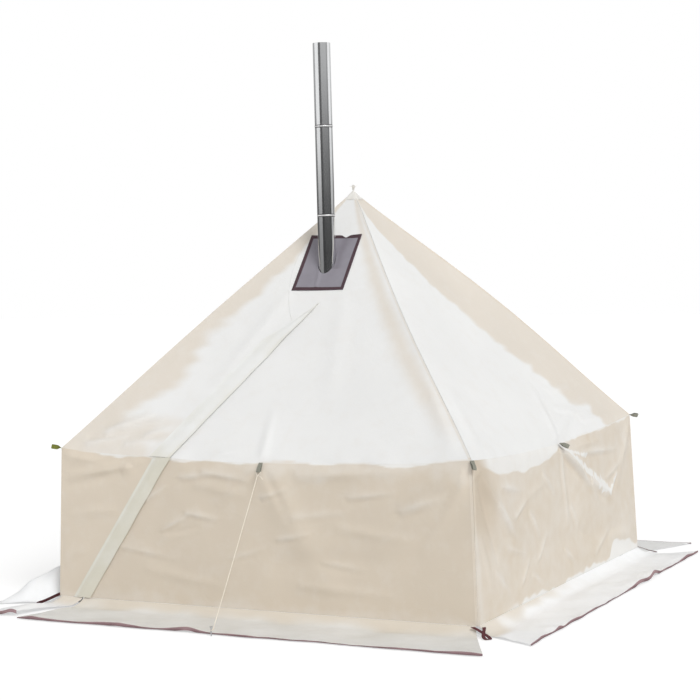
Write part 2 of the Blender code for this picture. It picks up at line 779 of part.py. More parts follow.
# Peak: a stitched cap over the top of the roof with a loop on it
cap_rise = PEAK_CAP_HALF * ROOF_RISE / HALF
cap_gap = (CANVAS / 2 + LAYER_GAP * 5 + PEAK_CAP) / math.cos(PITCH)
bpy.ops.mesh.primitive_cone_add(
    vertices=4, radius1=PEAK_CAP_HALF * math.sqrt(2), depth=cap_rise, end_fill_type="NOTHING"
)
peak = bpy.context.object
peak.data.transform(Matrix.Rotation(math.pi / 4, 4, "Z"))
peak.data.transform(Matrix.Translation((0, 0, -cap_rise / 2)))
solid = peak.modifiers.new("Thickness", "SOLIDIFY")
solid.thickness = PEAK_CAP
solid.offset = -1
solid.use_even_offset = True
apply_modifiers(peak)
loop = tape_loop(
    "peak_ring", (0, 0, WEBBING / 3), (0, 0, 1), (1, 0, 0),
    PEAK_LOOP_HEIGHT, EAVE_LOOP_HEIGHT, EAVE_LOOP_WIDTH / 2, EAVE_LOOP_EYE, GREY_WEBBING,
)
bpy.context.view_layer.update()
join(peak, loop)
peak.location = (0, 0, EAVE_Z + ROOF_RISE + cap_gap)
finish(peak, "peak_loop", GREY_WEBBING)

# Frame: legs, corner elbows, hip rafters and the hub at the top
LEG_PLACE = HALF - LEG_INSET
KNEE_Z = EAVE_Z - KNEE_DROP
RISE_SHARE = ROOF_RISE / HALF
rafter_way = Vector((1, 1, RISE_SHARE)).normalized()
rafter_meet = Vector((0, 0, KNEE_Z + LEG_PLACE * RISE_SHARE))
rafter_end = rafter_meet - rafter_way * (HUB_RADIUS * math.sqrt(2) + KNEE_ARM / 4)


def bent_bar(name, points, radii, look):
    """A round bar along a path, with its radius given at each point."""
    curve = bpy.data.curves.new(name, "CURVE")
    curve.dimensions = "3D"
    curve.bevel_depth = 1
    curve.bevel_resolution = 1
    curve.use_fill_caps = True
    path = curve.splines.new("POLY")
    path.points.add(len(points) - 1)
    for spot, point, radius in zip(path.points, points, radii):
        spot.co = (*point, 1)
        spot.radius = radius
    obj = bpy.data.objects.new(name, curve)
    tent.objects.link(obj)
    graph = bpy.context.evaluated_depsgraph_get()
    made = bpy.data.meshes.new_from_object(obj.evaluated_get(graph))
    solid = bpy.data.objects.new(name, made)
    bpy.data.objects.remove(obj, do_unlink=True)
    tent.objects.link(solid)
    bpy.context.view_layer.objects.active = solid
    weld(solid)
    return finish(solid, name, look)


def weld(obj):
    mesh = bmesh.new()
    mesh.from_mesh(obj.data)
    bmesh.ops.remove_doubles(mesh, verts=mesh.verts, dist=WELD_NEAR)
    bmesh.ops.recalc_face_normals(mesh, faces=mesh.faces)
    mesh.to_mesh(obj.data)
    mesh.free()


CORNER_NAMES = ("front_left", "front_right", "back_right", "back_left")
hub_centre = rafter_meet - Vector((0, 0, HUB_HEIGHT / 3))
half_hub = Vector((0, 0, HUB_HEIGHT / 2))
hub = rod(HUB_RADIUS, hub_centre - half_hub, hub_centre + half_hub, 20)
cap_inside = EAVE_Z + ROOF_RISE + cap_gap - PEAK_CAP / math.cos(PITCH)
pin_top = Vector((0, 0, cap_inside - HUB_PIN_RADIUS * RISE_SHARE - BUTT_GAP))
join(hub, rod(HUB_PIN_RADIUS, hub_centre, pin_top, 10))
for side, corner in enumerate(CORNER_NAMES):
    knee = Vector((-LEG_PLACE, -LEG_PLACE, KNEE_Z))
    elbow_top = knee + rafter_way * KNEE_ARM
    leg_top = knee - Vector((0, 0, KNEE_ARM))
    low, high = turned(side, elbow_top), turned(side, rafter_end)
    tube("rafter_" + corner, low, high, 12, FRAME_STEEL)
    foot = turned(side, (knee.x, knee.y, 0))
    leg_low = foot + Vector((0, 0, FOOT_HEIGHT / 2))
    leg = tube("leg_" + corner, leg_low, turned(side, leg_top), 12, FRAME_STEEL)
    join(leg, rod(FOOT_RADIUS, foot, foot + Vector((0, 0, FOOT_HEIGHT)), 16))
    bend = KNEE_ARM / 3
    path = (
        leg_top - Vector((0, 0, SPIGOT_LENGTH)),
        leg_top,
        leg_top + Vector((0, 0, BUTT_GAP)),
        knee - Vector((0, 0, bend)),
        knee - Vector((0, 0, bend / 3)) + rafter_way * bend / 4,
        knee + rafter_way * bend,
        elbow_top - rafter_way * BUTT_GAP,
        elbow_top,
        elbow_top + rafter_way * SPIGOT_LENGTH,
    )
    thin, thick = SPIGOT_RADIUS, TUBE_RADIUS
    radii = (thin, thin, thick, thick, thick, thick, thick, thin, thin)
    bent_bar("elbow_" + corner, [turned(side, point) for point in path], radii, FRAME_STEEL)
    spigot_end = rafter_end - rafter_way * SPIGOT_LENGTH
    spigot = rod(SPIGOT_RADIUS, rafter_meet, turned(side, spigot_end), 12)
    join(hub, spigot)
finish(hub, "peak_hub", FRAME_STEEL)


# Stove pipe sections: each has a narrow lower end that goes into the one below
def pipe_section(name, body_length):
    outer, inner = PIPE_RADIUS, PIPE_RADIUS - PIPE_WALL
    male = inner - PIPE_SLIP
    male_inner = male - PIPE_WALL
    bead = PIPE_BEAD_HEIGHT
    profile = (
        (outer, body_length),
        (outer, bead),
        (outer + PIPE_BEAD, bead * 2 / 3),
        (outer + PIPE_BEAD, bead / 3),
        (outer, 0),
        (male, 0),
        (male, -PIPE_MALE),
        (male_inner, -PIPE_MALE),
        (male_inner, 0),
        (inner, bead),
        (inner, body_length),
    )
    mesh = bpy.data.meshes.new(name)
    count = len(profile)
    edges = [(index, (index + 1) % count) for index in range(count)]
    mesh.from_pydata([(radius, 0, height) for radius, height in profile], edges, [])
    obj = bpy.data.objects.new(name, mesh)
    tent.objects.link(obj)
    turn = obj.modifiers.new("Turn", "SCREW")
    turn.steps = 24
    turn.render_steps = 24
    turn.use_merge_vertices = True
    turn.merge_threshold = TURN_NEAR
    finish(obj, name, PIPE_STEEL)
    apply_modifiers(obj)
    smooth(obj, math.radians(40))
    return obj


for number in range(PIPE_SECTIONS):
    is_top = number == PIPE_SECTIONS - 1
    length = PIPE_TOP_LENGTH if is_top else PIPE_PITCH - PIPE_SEAT
    section = pipe_section(f"pipe_{number + 1}", length)
    seat = PIPE_FIRST_SEAT + PIPE_PITCH * number
    if number == 0:
        hole = DAMPER_ROD + DAMPER_HOLE_SLIP
        reach = Vector((PIPE_RADIUS * 2, 0, 0))
        middle = Vector((0, 0, DAMPER_HEIGHT))
        cut(section, rod(hole, middle - reach, middle + reach, 12))
    section.location = pipe_foot + Vector((0, 0, seat))

# Damper in the first section: a plate on a rod with a handle outside
damper = rod(DAMPER_RADIUS, (0, -DAMPER_SHEET / 2, 0), (0, DAMPER_SHEET / 2, 0), 24)
rod_left = (-PIPE_RADIUS - DAMPER_END, 0, 0)
rod_right = Vector((PIPE_RADIUS + DAMPER_END * 2, 0, 0))
join(damper, rod(DAMPER_ROD, rod_left, rod_right, 10))
handle_low = rod_right + Vector((-DAMPER_END / 2, 0, -DAMPER_HANDLE / 4))
handle_high = rod_right + Vector((-DAMPER_END / 2, 0, DAMPER_HANDLE))
join(damper, rod(DAMPER_ROD * DAMPER_HANDLE_SHARE, handle_low, handle_high, 10))
damper.location = pipe_foot + Vector((0, 0, PIPE_FIRST_SEAT + DAMPER_HEIGHT))
finish(damper, "pipe_damper", STOVE_STEEL)

# Stove body: a steel box on legs, its mouth at the front and a collar at the rear
stove_back = -PIPE_BACK - STOVE_REAR
stove_front = stove_back + STOVE_LENGTH
stove_middle = (stove_back + stove_front) / 2
stove_top = STOVE_LEGS + STOVE_HEIGHT
body_centre = Vector((0, stove_middle, STOVE_LEGS + STOVE_HEIGHT / 2))
stove = box((STOVE_WIDTH, STOVE_LENGTH, STOVE_HEIGHT), body_centre)
edge = stove.modifiers.new("Edges", "BEVEL")
edge.width = STOVE_EDGE
edge.segments = 2
apply_modifiers(stove)
leg_x = STOVE_WIDTH / 2 - STOVE_LEG_SIDE
leg_y = STOVE_LENGTH / 2 - STOVE_LEG_SIDE
leg_height = STOVE_LEGS + STOVE_SHEET / 2
for x, y in ((leg_x, leg_y), (leg_x, -leg_y), (-leg_x, leg_y), (-leg_x, -leg_y)):
    size = (STOVE_LEG_SIDE, STOVE_LEG_SIDE, leg_height)
    join(stove, box(size, (x, stove_middle + y, leg_height / 2)))
collar_top = PIPE_FIRST_SEAT - PIPE_SEAT
collar_low = Vector((0, -PIPE_BACK, stove_top - STOVE_SHEET / 2))
join(stove, rod(PIPE_RADIUS, collar_low, (0, -PIPE_BACK, collar_top), 24))
hollow = Vector((STOVE_WIDTH, STOVE_LENGTH, STOVE_HEIGHT)) - Vector((2, 2, 2)) * STOVE_SHEET
cut(stove, box(hollow, body_centre))
bore_low = (0, -PIPE_BACK, stove_top - STOVE_HEIGHT / 4)
bore_high = (0, -PIPE_BACK, collar_top + STOVE_SHEET)
cut(stove, rod(PIPE_RADIUS - PIPE_WALL, bore_low, bore_high, 24))
mouth_centre = (0, stove_front, body_centre.z)
cut(stove, box((STOVE_MOUTH_WIDTH, STOVE_SHEET * 4, STOVE_MOUTH_HEIGHT), mouth_centre))
finish(stove, "stove_body", STOVE_STEEL)

# Stove door on a barrel hinge at its left edge
door_width = STOVE_MOUTH_WIDTH + 2 * STOVE_DOOR_LAP
door_height = STOVE_MOUTH_HEIGHT + 2 * STOVE_DOOR_LAP
hinge_x = -door_width / 2
hinge_y = stove_front + STOVE_DOOR_GAP + HINGE_RADIUS
plate_y = STOVE_DOOR / 2 - HINGE_RADIUS
stove_door = box((door_width, STOVE_DOOR, door_height), (door_width / 2, plate_y, 0))
join(stove_door, rod(HINGE_RADIUS, (0, 0, -door_height / 2), (0, 0, door_height / 2), 12))
air_x, air_z = door_width / 2, -AIR_DROP
for index in range(3):
    angle = 2 * math.pi * index / 3
    x = air_x + AIR_HOLE_PLACE * math.cos(angle)
    z = air_z + AIR_HOLE_PLACE * math.sin(angle)
    cut(stove_door, rod(AIR_HOLE, (x, -door_width, z), (x, door_width, z), 12))
stove_door.location = (hinge_x, hinge_y, body_centre.z)
finish(stove_door, "stove_door", STOVE_STEEL)
door_face = hinge_y + plate_y + STOVE_DOOR / 2

# Air wheel low on the door: turning it uncovers the three holes
wheel = rod(AIR_RADIUS, (0, 0, 0), (0, AIR_SHEET, 0), 24)
join(wheel, rod(AIR_KNOB_RADIUS, (0, 0, 0), (0, AIR_KNOB, 0), 12))
for index in range(3):
    angle = 2 * math.pi * index / 3
    x, z = AIR_HOLE_PLACE * math.cos(angle), AIR_HOLE_PLACE * math.sin(angle)
    cut(wheel, rod(AIR_HOLE, (x, -AIR_SHEET, z), (x, AIR_SHEET * 2, z), 12))
wheel.location = (hinge_x + air_x, door_face + STOVE_DOOR_GAP, body_centre.z + air_z)
finish(wheel, "stove_air_wheel", STOVE_STEEL)

# Latch handle high on the door's free edge
latch = rod(LATCH_PIVOT_RADIUS, (0, 0, 0), (0, LATCH_STAND + LATCH_BAR_SIDE, 0), 14)
bar_size = (LATCH_BAR, LATCH_BAR_SIDE, LATCH_BAR_SIDE)
bar_centre = (-LATCH_BAR / 4, LATCH_STAND + LATCH_BAR_SIDE / 2, 0)
join(latch, box(bar_size, bar_centre))
latch_x = door_width - STOVE_DOOR_LAP - LATCH_PIVOT_RADIUS
latch.location = (hinge_x + latch_x, door_face + STOVE_DOOR_GAP, body_centre.z + LATCH_RISE)
finish(latch, "stove_latch", STOVE_STEEL)

# Guy peg: only what stands above the ground
peg = rod(PEG_RADIUS, (0, 0, 0), (0, 0, PEG_HEIGHT), 12)
join(peg, rod(PEG_HEAD_RADIUS, (0, 0, PEG_HEIGHT - PEG_HEAD), (0, 0, PEG_HEIGHT), 14))
peg.location = (0, peg_y, 0)
finish(peg, "guy_peg", FRAME_STEEL)

# Guy line: a bight through the front loop, a straight run and a bight round the peg
peg_tie = Vector((0, peg_y, PEG_TIE_HEIGHT))
low_knot = peg_tie + Vector((0, GUY_KNOT_PLACE, 0))
loop_far = loop_root + loop_out * EAVE_LOOP_LENGTH
high_knot = loop_far + loop_out * GUY_KNOT_PLACE
side_way = Vector((1, 0, 0))
tape_side = EAVE_LOOP_WIDTH / 2 + GUY_RADIUS + LAYER_GAP
tape_inside = GUY_RADIUS + WEBBING * 2 / 3


def loop_spot(beyond, across):
    """A point this far past the loop's end and this far to its side."""
    return loop_far + loop_out * beyond + side_way * across


beyond_share, across_share = GUY_SPREAD_SHARES
pair_side = GUY_RADIUS * GUY_PAIR_SHARE
half_bight = (
    (GUY_KNOT_PLACE + GUY_RADIUS, pair_side),
    (GUY_KNOT_PLACE * beyond_share, tape_side * across_share),
    (WEBBING + GUY_RADIUS, tape_side),
    (-tape_inside, tape_side),
)
top_turn = [loop_spot(beyond, across) for beyond, across in half_bight]
top_turn += [loop_spot(-tape_inside, 0)]
top_turn += [loop_spot(beyond, -across) for beyond, across in half_bight[:0:-1]]
low_radius = PEG_RADIUS + GUY_RADIUS + LAYER_GAP * 2
low_turn = []
for index in range(9):
    angle = math.radians(-150 + 300 * index / 8)
    low_turn.append(
        peg_tie + low_radius * Vector((math.sin(angle), -math.cos(angle), 0))
    )
low_turn.append(low_knot + side_way * pair_side)
line_points = top_turn + [high_knot - side_way * pair_side]
line_points += [low_knot - side_way * pair_side] + low_turn
guy = bent_bar("guy_line", line_points, [GUY_RADIUS] * len(line_points), CREAM_CORD)


def knot(centre):
    bpy.ops.mesh.primitive_uv_sphere_add(segments=10, ring_count=6, radius=GUY_KNOT)
    obj = bpy.context.object
    obj.data.transform(Matrix.Translation(centre))
    return obj


join(guy, knot(high_knot), knot(low_knot))
finish(guy, "guy_line", CREAM_CORD)
smooth(guy, math.radians(60))
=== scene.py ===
# %% [markdown]
# # Dressing a hot tent
# The frame holds every solid piece of the tent at its true size: poles, stove, pipe and stiff cloth.
# Here each cloth is made again as thin cloth with its folds, each tape and rope gets its own shape,
# and every surface gets its finish. Nothing is moved: each new piece is built where the frame's is.

import math

import bpy
import numpy as np
from mathutils import Matrix, Vector, noise


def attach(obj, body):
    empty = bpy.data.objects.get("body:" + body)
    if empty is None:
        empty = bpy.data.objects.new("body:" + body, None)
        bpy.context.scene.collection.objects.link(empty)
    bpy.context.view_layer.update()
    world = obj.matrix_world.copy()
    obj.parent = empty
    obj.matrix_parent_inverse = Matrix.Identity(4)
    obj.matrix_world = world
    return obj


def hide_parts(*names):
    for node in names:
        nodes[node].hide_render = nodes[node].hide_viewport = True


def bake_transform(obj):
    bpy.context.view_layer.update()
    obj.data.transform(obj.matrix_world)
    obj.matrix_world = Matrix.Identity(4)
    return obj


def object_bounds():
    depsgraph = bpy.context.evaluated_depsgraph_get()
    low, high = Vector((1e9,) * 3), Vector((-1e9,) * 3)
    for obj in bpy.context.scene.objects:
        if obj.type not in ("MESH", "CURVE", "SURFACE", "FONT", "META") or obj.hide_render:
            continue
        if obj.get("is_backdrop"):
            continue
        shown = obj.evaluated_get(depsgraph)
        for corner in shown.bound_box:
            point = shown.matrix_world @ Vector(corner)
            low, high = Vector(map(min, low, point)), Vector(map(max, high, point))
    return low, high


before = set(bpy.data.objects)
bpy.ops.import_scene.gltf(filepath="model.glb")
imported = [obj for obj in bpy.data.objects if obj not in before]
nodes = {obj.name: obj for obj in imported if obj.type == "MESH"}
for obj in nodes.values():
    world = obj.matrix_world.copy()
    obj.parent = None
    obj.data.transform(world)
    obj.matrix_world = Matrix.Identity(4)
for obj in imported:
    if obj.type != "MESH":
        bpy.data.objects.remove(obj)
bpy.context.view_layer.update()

# %% [markdown]
# ## Camera
# The photograph was taken from the front right, a little below the peak, with a long lens.
# The camera's place and turn were found from the tent's corners, so pieces can be compared one by one.

# %% Camera
PHOTO_SIDE = 700
SENSOR = 36
FOCAL_PIXELS = 1858.5
CAMERA_PLACE = Vector((5.387, -10.74, 2.163))
YAW, PITCH_DOWN, ROLL = math.radians(-26.872), math.radians(-3.218), math.radians(-1.532)

forward = Vector((math.sin(YAW) * math.cos(PITCH_DOWN), math.cos(YAW) * math.cos(PITCH_DOWN), math.sin(PITCH_DOWN)))
level_right = Vector((math.cos(YAW), -math.sin(YAW), 0))
level_up = level_right.cross(forward)
camera_right = level_right * math.cos(ROLL) + level_up * math.sin(ROLL)
camera_up = camera_right.cross(forward)


def linked(name, data):
    """A new object in the scene, with this camera, lamp or curve."""
    obj = bpy.data.objects.new(name, data)
    bpy.context.scene.collection.objects.link(obj)
    return obj


lens = bpy.data.cameras.new("photo_camera")
lens.sensor_width = SENSOR
lens.lens = SENSOR * FOCAL_PIXELS / PHOTO_SIDE
lens.clip_end = 200
camera = linked("photo_camera", lens)
camera_axes = Matrix((camera_right, camera_up, -forward)).transposed().to_4x4()
camera.matrix_world = Matrix.Translation(CAMERA_PLACE) @ camera_axes
bpy.context.scene.camera = camera
bpy.context.scene.view_settings.view_transform = "Standard"
print("lens", round(lens.lens, 1), "mm")

# %% [markdown]
# ## Nodes for the finishes
# A small helper adds one shader node and fills its sockets, either with a value or with a link.
# Effects that several finishes share are node groups with named inputs and outputs.

# %% Node helpers
def fill(tree, node, sockets):
    for key, value in sockets.items():
        if isinstance(value, bpy.types.NodeSocket):
            tree.links.new(value, node.inputs[key])
        else:
            node.inputs[key].default_value = value
    return node


def add_node(tree, kind, sockets=None, **settings):
    node = tree.nodes.new("ShaderNode" + kind)
    for key, value in settings.items():
        setattr(node, key, value)
    return fill(tree, node, sockets or {})


def math_node(tree, operation, first, second=0.0, clamp=False):
    return add_node(tree, "Math", {0: first, 1: second}, operation=operation, use_clamp=clamp).outputs[0]


def spread(tree, value, by, middle=0.5, clamp=False):
    """How far a value is from its middle, times a factor."""
    return math_node(tree, "MULTIPLY", math_node(tree, "SUBTRACT", value, middle), by, clamp)


def noise_at(tree, where, scale, detail, **more):
    return add_node(tree, "TexNoise", {"Vector": where, "Scale": scale, "Detail": detail, **more}).outputs["Fac"]


def mix_colours(tree, share, *ends):
    """Each end is three numbers or another node's colour."""
    first, second = ((*end, 1) if isinstance(end, tuple) else end for end in ends)
    return add_node(tree, "Mix", {"Factor": share, "A": first, "B": second}, data_type="RGBA").outputs["Result"]


def bump_node(tree, strength, distance, height):
    return add_node(tree, "Bump", {"Strength": strength, "Distance": distance, "Height": height}).outputs["Normal"]


def new_group(name, inputs, outputs):
    """An input without a value is a vector, and every other socket is a number."""
    group = bpy.data.node_groups.new(name, "ShaderNodeTree")
    for label, value in inputs.items():
        kind = "NodeSocketVector" if value is None else "NodeSocketFloat"
        socket = group.interface.new_socket(name=label, in_out="INPUT", socket_type=kind)
        if value is not None:
            socket.default_value = value
    for label in outputs:
        group.interface.new_socket(name=label, in_out="OUTPUT", socket_type="NodeSocketFloat")
    return group, group.nodes.new("NodeGroupInput").outputs, group.nodes.new("NodeGroupOutput")


def use_group(tree, group, sockets):
    return add_node(tree, "Group", sockets, node_tree=group).outputs


def new_look(name):
    """A material, its nodes, its Principled node and the piece's own coordinates."""
    made = bpy.data.materials.new(name)
    made.use_nodes = True
    tree = made.node_tree
    return made, tree, tree.nodes["Principled BSDF"], add_node(tree, "TexCoord").outputs["Object"]

# %% [markdown]
# ### Weave
# Plain canvas is two sets of yarns that pass over and under each other. Two sine waves multiplied
# give that chequer of raised crossings, and a little noise makes some yarns thicker than others.

# %% Weave group
weave, start, end = new_group("weave", {"Vector": None, "Yarn": 0.0008}, ("Height", "Shade"))
turns = math_node(weave, "DIVIDE", math.pi, start["Yarn"])
parts = add_node(weave, "SeparateXYZ", {"Vector": start["Vector"]}).outputs
warp, weft = (math_node(weave, "SINE", math_node(weave, "MULTIPLY", parts[axis], turns)) for axis in "XY")
slub = noise_at(weave, start["Vector"], 260.0, 2.0)
height = math_node(weave, "ADD", math_node(weave, "MULTIPLY", warp, weft), slub)
fill(weave, end, {"Height": height, "Shade": slub})
print("weave", len(weave.nodes), "nodes")

# %% [markdown]
# ### Handling marks
# Cotton that has been folded and rained on is never one flat colour: it has broad cloudy patches,
# small smudges and a net of faint wrinkles. The wrinkles are also a height, for the bump.

# %% Handling marks group
marks, start, end = new_group("handling_marks", {"Vector": None}, ("Cloud", "Smudge", "Wrinkle"))
cloud = noise_at(marks, start["Vector"], 1.6, 4.0)
smudge = noise_at(marks, start["Vector"], 11.0, 6.0, Roughness=0.6)
bent = noise_at(marks, start["Vector"], 7.0, 5.0, Roughness=0.55, Distortion=1.4)
ridge = math_node(marks, "ABSOLUTE", math_node(marks, "SUBTRACT", bent, 0.5))
wrinkle = math_node(marks, "SUBTRACT", 1.0, math_node(marks, "MULTIPLY", ridge, 7.0, True))
fill(marks, end, {"Cloud": cloud, "Smudge": smudge, "Wrinkle": wrinkle})
print("handling marks", len(marks.nodes), "nodes")

# %% [markdown]
# ### Stitching
# Lock stitch is a row of short dashes. Across the tape, the distance from the row's line makes a
# thin band; along it, a wave cuts the band into stitches. The strip's own UV map is in metres.

# %% Stitch group
STITCH_ROWS = {"Row": 0.004, "Second Row": 0.018, "Pitch": 0.004, "Thread": 0.0005}
stitch, start, end = new_group("stitching", {"Vector": None, **STITCH_ROWS}, ("Mask",))
parts = add_node(stitch, "SeparateXYZ", {"Vector": start["Vector"]}).outputs
waves = math_node(stitch, "DIVIDE", 2 * math.pi, start["Pitch"])
dash = math_node(stitch, "SINE", math_node(stitch, "MULTIPLY", parts["Y"], waves))
dash = math_node(stitch, "GREATER_THAN", dash, -0.4)
near = []
for row in ("Row", "Second Row"):
    away = math_node(stitch, "ABSOLUTE", math_node(stitch, "SUBTRACT", parts["X"], start[row]))
    near.append(math_node(stitch, "LESS_THAN", away, start["Thread"]))
fill(stitch, end, {"Mask": math_node(stitch, "MULTIPLY", math_node(stitch, "MAXIMUM", *near), dash)})
print("stitching", len(stitch.nodes), "nodes")

# %% [markdown]
# ## Finishes
# Cloth: the colour goes from its light tone to its shade tone by a number kept on each point of the
# mesh. On the canvas, the flap and the ground cloth that number is mostly painted light and shade,
# with uneven smudges on top. Roughness stays high.

# %% Cloth finish
CLOTH_WEAR = 0.10


def cloth_finish(
    name, light, shade, yarn=0.0009, rough=0.9, bump=0.35, stitches=None, thread=(0.8, 0.76, 0.66), stain_and_shade=None
):
    made, tree, shader, where = new_look(name)
    cloth_map = add_node(tree, "UVMap", uv_map="UVMap").outputs["UV"]
    worn = use_group(tree, marks, {"Vector": where})
    yarns = use_group(tree, weave, {"Vector": cloth_map, "Yarn": yarn})
    shade_share = add_node(tree, "Attribute", attribute_name="shade_share").outputs["Fac"]
    share = math_node(tree, "ADD", shade_share, spread(tree, worn["Smudge"], 0.5), True)
    colour = mix_colours(tree, share, light, shade)
    # A second number on the points mixes in a second colour: painted shade on the walls, the wall's beige on the
    # ground cloth by its seam.
    if stain_and_shade:
        stained = add_node(tree, "Attribute", attribute_name="stain_and_shade").outputs["Fac"]
        colour = mix_colours(tree, stained, colour, stain_and_shade)
    value = spread(tree, worn["Cloud"], CLOTH_WEAR)
    fine = spread(tree, yarns["Shade"], CLOTH_WEAR)
    level = math_node(tree, "ADD", math_node(tree, "ADD", value, fine), 1.0)
    final = add_node(tree, "VectorMath", {0: colour, "Scale": level}, operation="SCALE").outputs[0]
    relief = math_node(tree, "MULTIPLY", yarns["Height"], 0.06)
    relief = math_node(tree, "ADD", relief, math_node(tree, "MULTIPLY", worn["Wrinkle"], bump))
    if stitches:
        sewn = use_group(tree, stitch, {"Vector": cloth_map, **stitches})["Mask"]
        final = mix_colours(tree, sewn, final, thread)
        relief = math_node(tree, "ADD", relief, math_node(tree, "MULTIPLY", sewn, 0.25))
    dull = math_node(tree, "ADD", spread(tree, worn["Smudge"], 0.12), rough, True)
    normal = bump_node(tree, 0.5, 0.002, relief)
    fill(tree, shader, {"Base Color": final, "Normal": normal, "Roughness": dull, "Specular IOR Level": 0.25})
    return made


def tape_finish(name, light, shade, yarn=0.0014, bump=0.1, **more):
    return cloth_finish(name, light, shade, yarn, 0.85, bump, **more)


ROOF_CANVAS = cloth_finish("roof_canvas", (0.80, 0.80, 0.79), (0.715, 0.66, 0.585))
# The walls' second colour, a darker beige, is painted shade below the front corner's loop.
WALL_CANVAS = cloth_finish("wall_canvas", (0.80, 0.79, 0.765), (0.662, 0.584, 0.482), stain_and_shade=(0.595, 0.515, 0.415))
DOOR_CANVAS = cloth_finish("door_canvas", (0.79, 0.78, 0.755), (0.685, 0.605, 0.50))
FLAP_CANVAS = cloth_finish("flap_canvas", (0.81, 0.815, 0.80), (0.69, 0.665, 0.57))
SEAM_CANVAS = cloth_finish(
    "seam_canvas", (0.80, 0.80, 0.79), (0.69, 0.605, 0.50),
    stitches={"Row": 0.003, "Second Row": 0.013, "Pitch": 0.004, "Thread": 0.0006},
)
# The ground cloth's shade tone is painted shade, where less light falls on it.
SOD_FABRIC = cloth_finish(
    "sod_fabric", (0.90, 0.91, 0.92), (0.70, 0.69, 0.655), 0.0012, 0.62, 0.6, stain_and_shade=(0.69, 0.62, 0.52)
)
JACK_FABRIC = cloth_finish("jack_fabric", (0.305, 0.293, 0.328), (0.175, 0.160, 0.186), 0.0011, 0.7, 0.25)
ZIP_FABRIC = cloth_finish("zip_fabric", (0.10, 0.08, 0.07), (0.07, 0.055, 0.048), 0.0007, 0.75, 0.1)
PEAK_CLOTH = cloth_finish("peak_cloth", (0.80, 0.79, 0.76), (0.68, 0.64, 0.57), 0.0010, 0.9, 0.3)
BINDING_TAPE = tape_finish(
    "binding_tape", (0.085, 0.05, 0.06), (0.05, 0.03, 0.036), 0.0008, 0.2,
    stitches=STITCH_ROWS, thread=(0.12, 0.08, 0.09),
)
SOD_BINDING = tape_finish("sod_binding", (0.36, 0.24, 0.25), (0.15, 0.085, 0.095), 0.0008, 0.2)
GREY_WEBBING = tape_finish(
    "grey_webbing", (0.27, 0.27, 0.22), (0.20, 0.20, 0.17),
    stitches={"Row": 0.004, "Second Row": 0.021, "Pitch": 0.004, "Thread": 0.0006}, thread=(0.4, 0.4, 0.36),
)
GREEN_WEBBING = tape_finish("green_webbing", (0.20, 0.22, 0.045), (0.14, 0.155, 0.03))
BROWN_WEBBING = tape_finish("brown_webbing", (0.115, 0.032, 0.038), (0.07, 0.02, 0.024))
print("roof canvas", len(ROOF_CANVAS.node_tree.nodes), "nodes")

# %% [markdown]
# Rope and thread follow the piece itself: the strands are real shapes, and the fibres are streaks
# of noise. Steel: drawn pipe is smooth with long faint lines up its length, heated steel is darker.

# %% Rope and metal finishes
def rope_finish(name, colour, dark):
    made, tree, shader, where = new_look(name)
    fibres = noise_at(tree, where, 900.0, 3.0)
    mixed = mix_colours(tree, fibres, colour, dark)
    fill(tree, shader, {"Base Color": mixed, "Normal": bump_node(tree, 0.4, 0.0004, fibres), "Roughness": 0.85})
    return made


def metal_finish(name, bright, dark, rough, uneven, grain, stretch=(1, 1, 0.02), metallic=1.0, dust=0.0, relief=0.12):
    """Grain is stretched along Z; dark patches follow a broad noise."""
    made, tree, shader, where = new_look(name)
    lines = noise_at(tree, add_node(tree, "Mapping", {"Vector": where, "Scale": stretch}).outputs[0], grain, 4.0)
    share = spread(tree, noise_at(tree, where, 6.0, 6.0), 2.2, 0.42, True)
    varied = math_node(tree, "ADD", spread(tree, lines, uneven), math_node(tree, "MULTIPLY", share, dust))
    fill(tree, shader, {
        "Base Color": mix_colours(tree, share, bright, dark), "Normal": bump_node(tree, relief, 0.0005, lines),
        "Roughness": math_node(tree, "ADD", varied, rough, True), "Metallic": metallic,
    })
    return made


EVEN = (1, 1, 1)
CREAM_CORD = rope_finish("cream_cord", (0.90, 0.84, 0.74), (0.74, 0.67, 0.57))
ORANGE_THREAD = rope_finish("orange_thread", (0.85, 0.42, 0.12), (0.65, 0.28, 0.07))
PIPE_STEEL = metal_finish(
    "pipe_steel", (0.80, 0.81, 0.82), (0.74, 0.745, 0.75), 0.13, 0.06, 90.0, dust=0.05, relief=0.015
)
# Painted highlight: the bead is brighter than the pipe's own steel.
BEAD_HIGHLIGHT = metal_finish("bead_highlight", (0.95, 0.95, 0.96), (0.9, 0.9, 0.91), 0.35, 0.1, 60.0)
# Painted shade: the dark bands beside the pipe's bead and at its joints stand for the shade in those grooves.
JOINT_SHADE = metal_finish("joint_shade", (0.07, 0.068, 0.066), (0.045, 0.043, 0.041), 0.6, 0.1, 60.0, metallic=0.3)
FRAME_STEEL = metal_finish("frame_steel", (0.55, 0.56, 0.57), (0.42, 0.43, 0.44), 0.36, 0.2, 140.0)
STOVE_STEEL = metal_finish("stove_steel", (0.05, 0.05, 0.053), (0.03, 0.028, 0.027), 0.52, 0.2, 70.0, EVEN, 0.6, 0.15)
BLACK_METAL = metal_finish("black_metal", (0.035, 0.035, 0.037), (0.02, 0.02, 0.021), 0.4, 0.15, 200.0, EVEN, 0.6)
TOOTH_NYLON = metal_finish("tooth_nylon", (0.06, 0.05, 0.045), (0.04, 0.035, 0.03), 0.4, 0.1, 400.0, EVEN, 0.0)
print("finishes", len(bpy.data.materials))

# %% [markdown]
# ## The tent's surfaces
# The same few lengths and formulas as the frame's give each point of the canvas. They are written
# for the front side; the other sides are the same, turned by a quarter each.

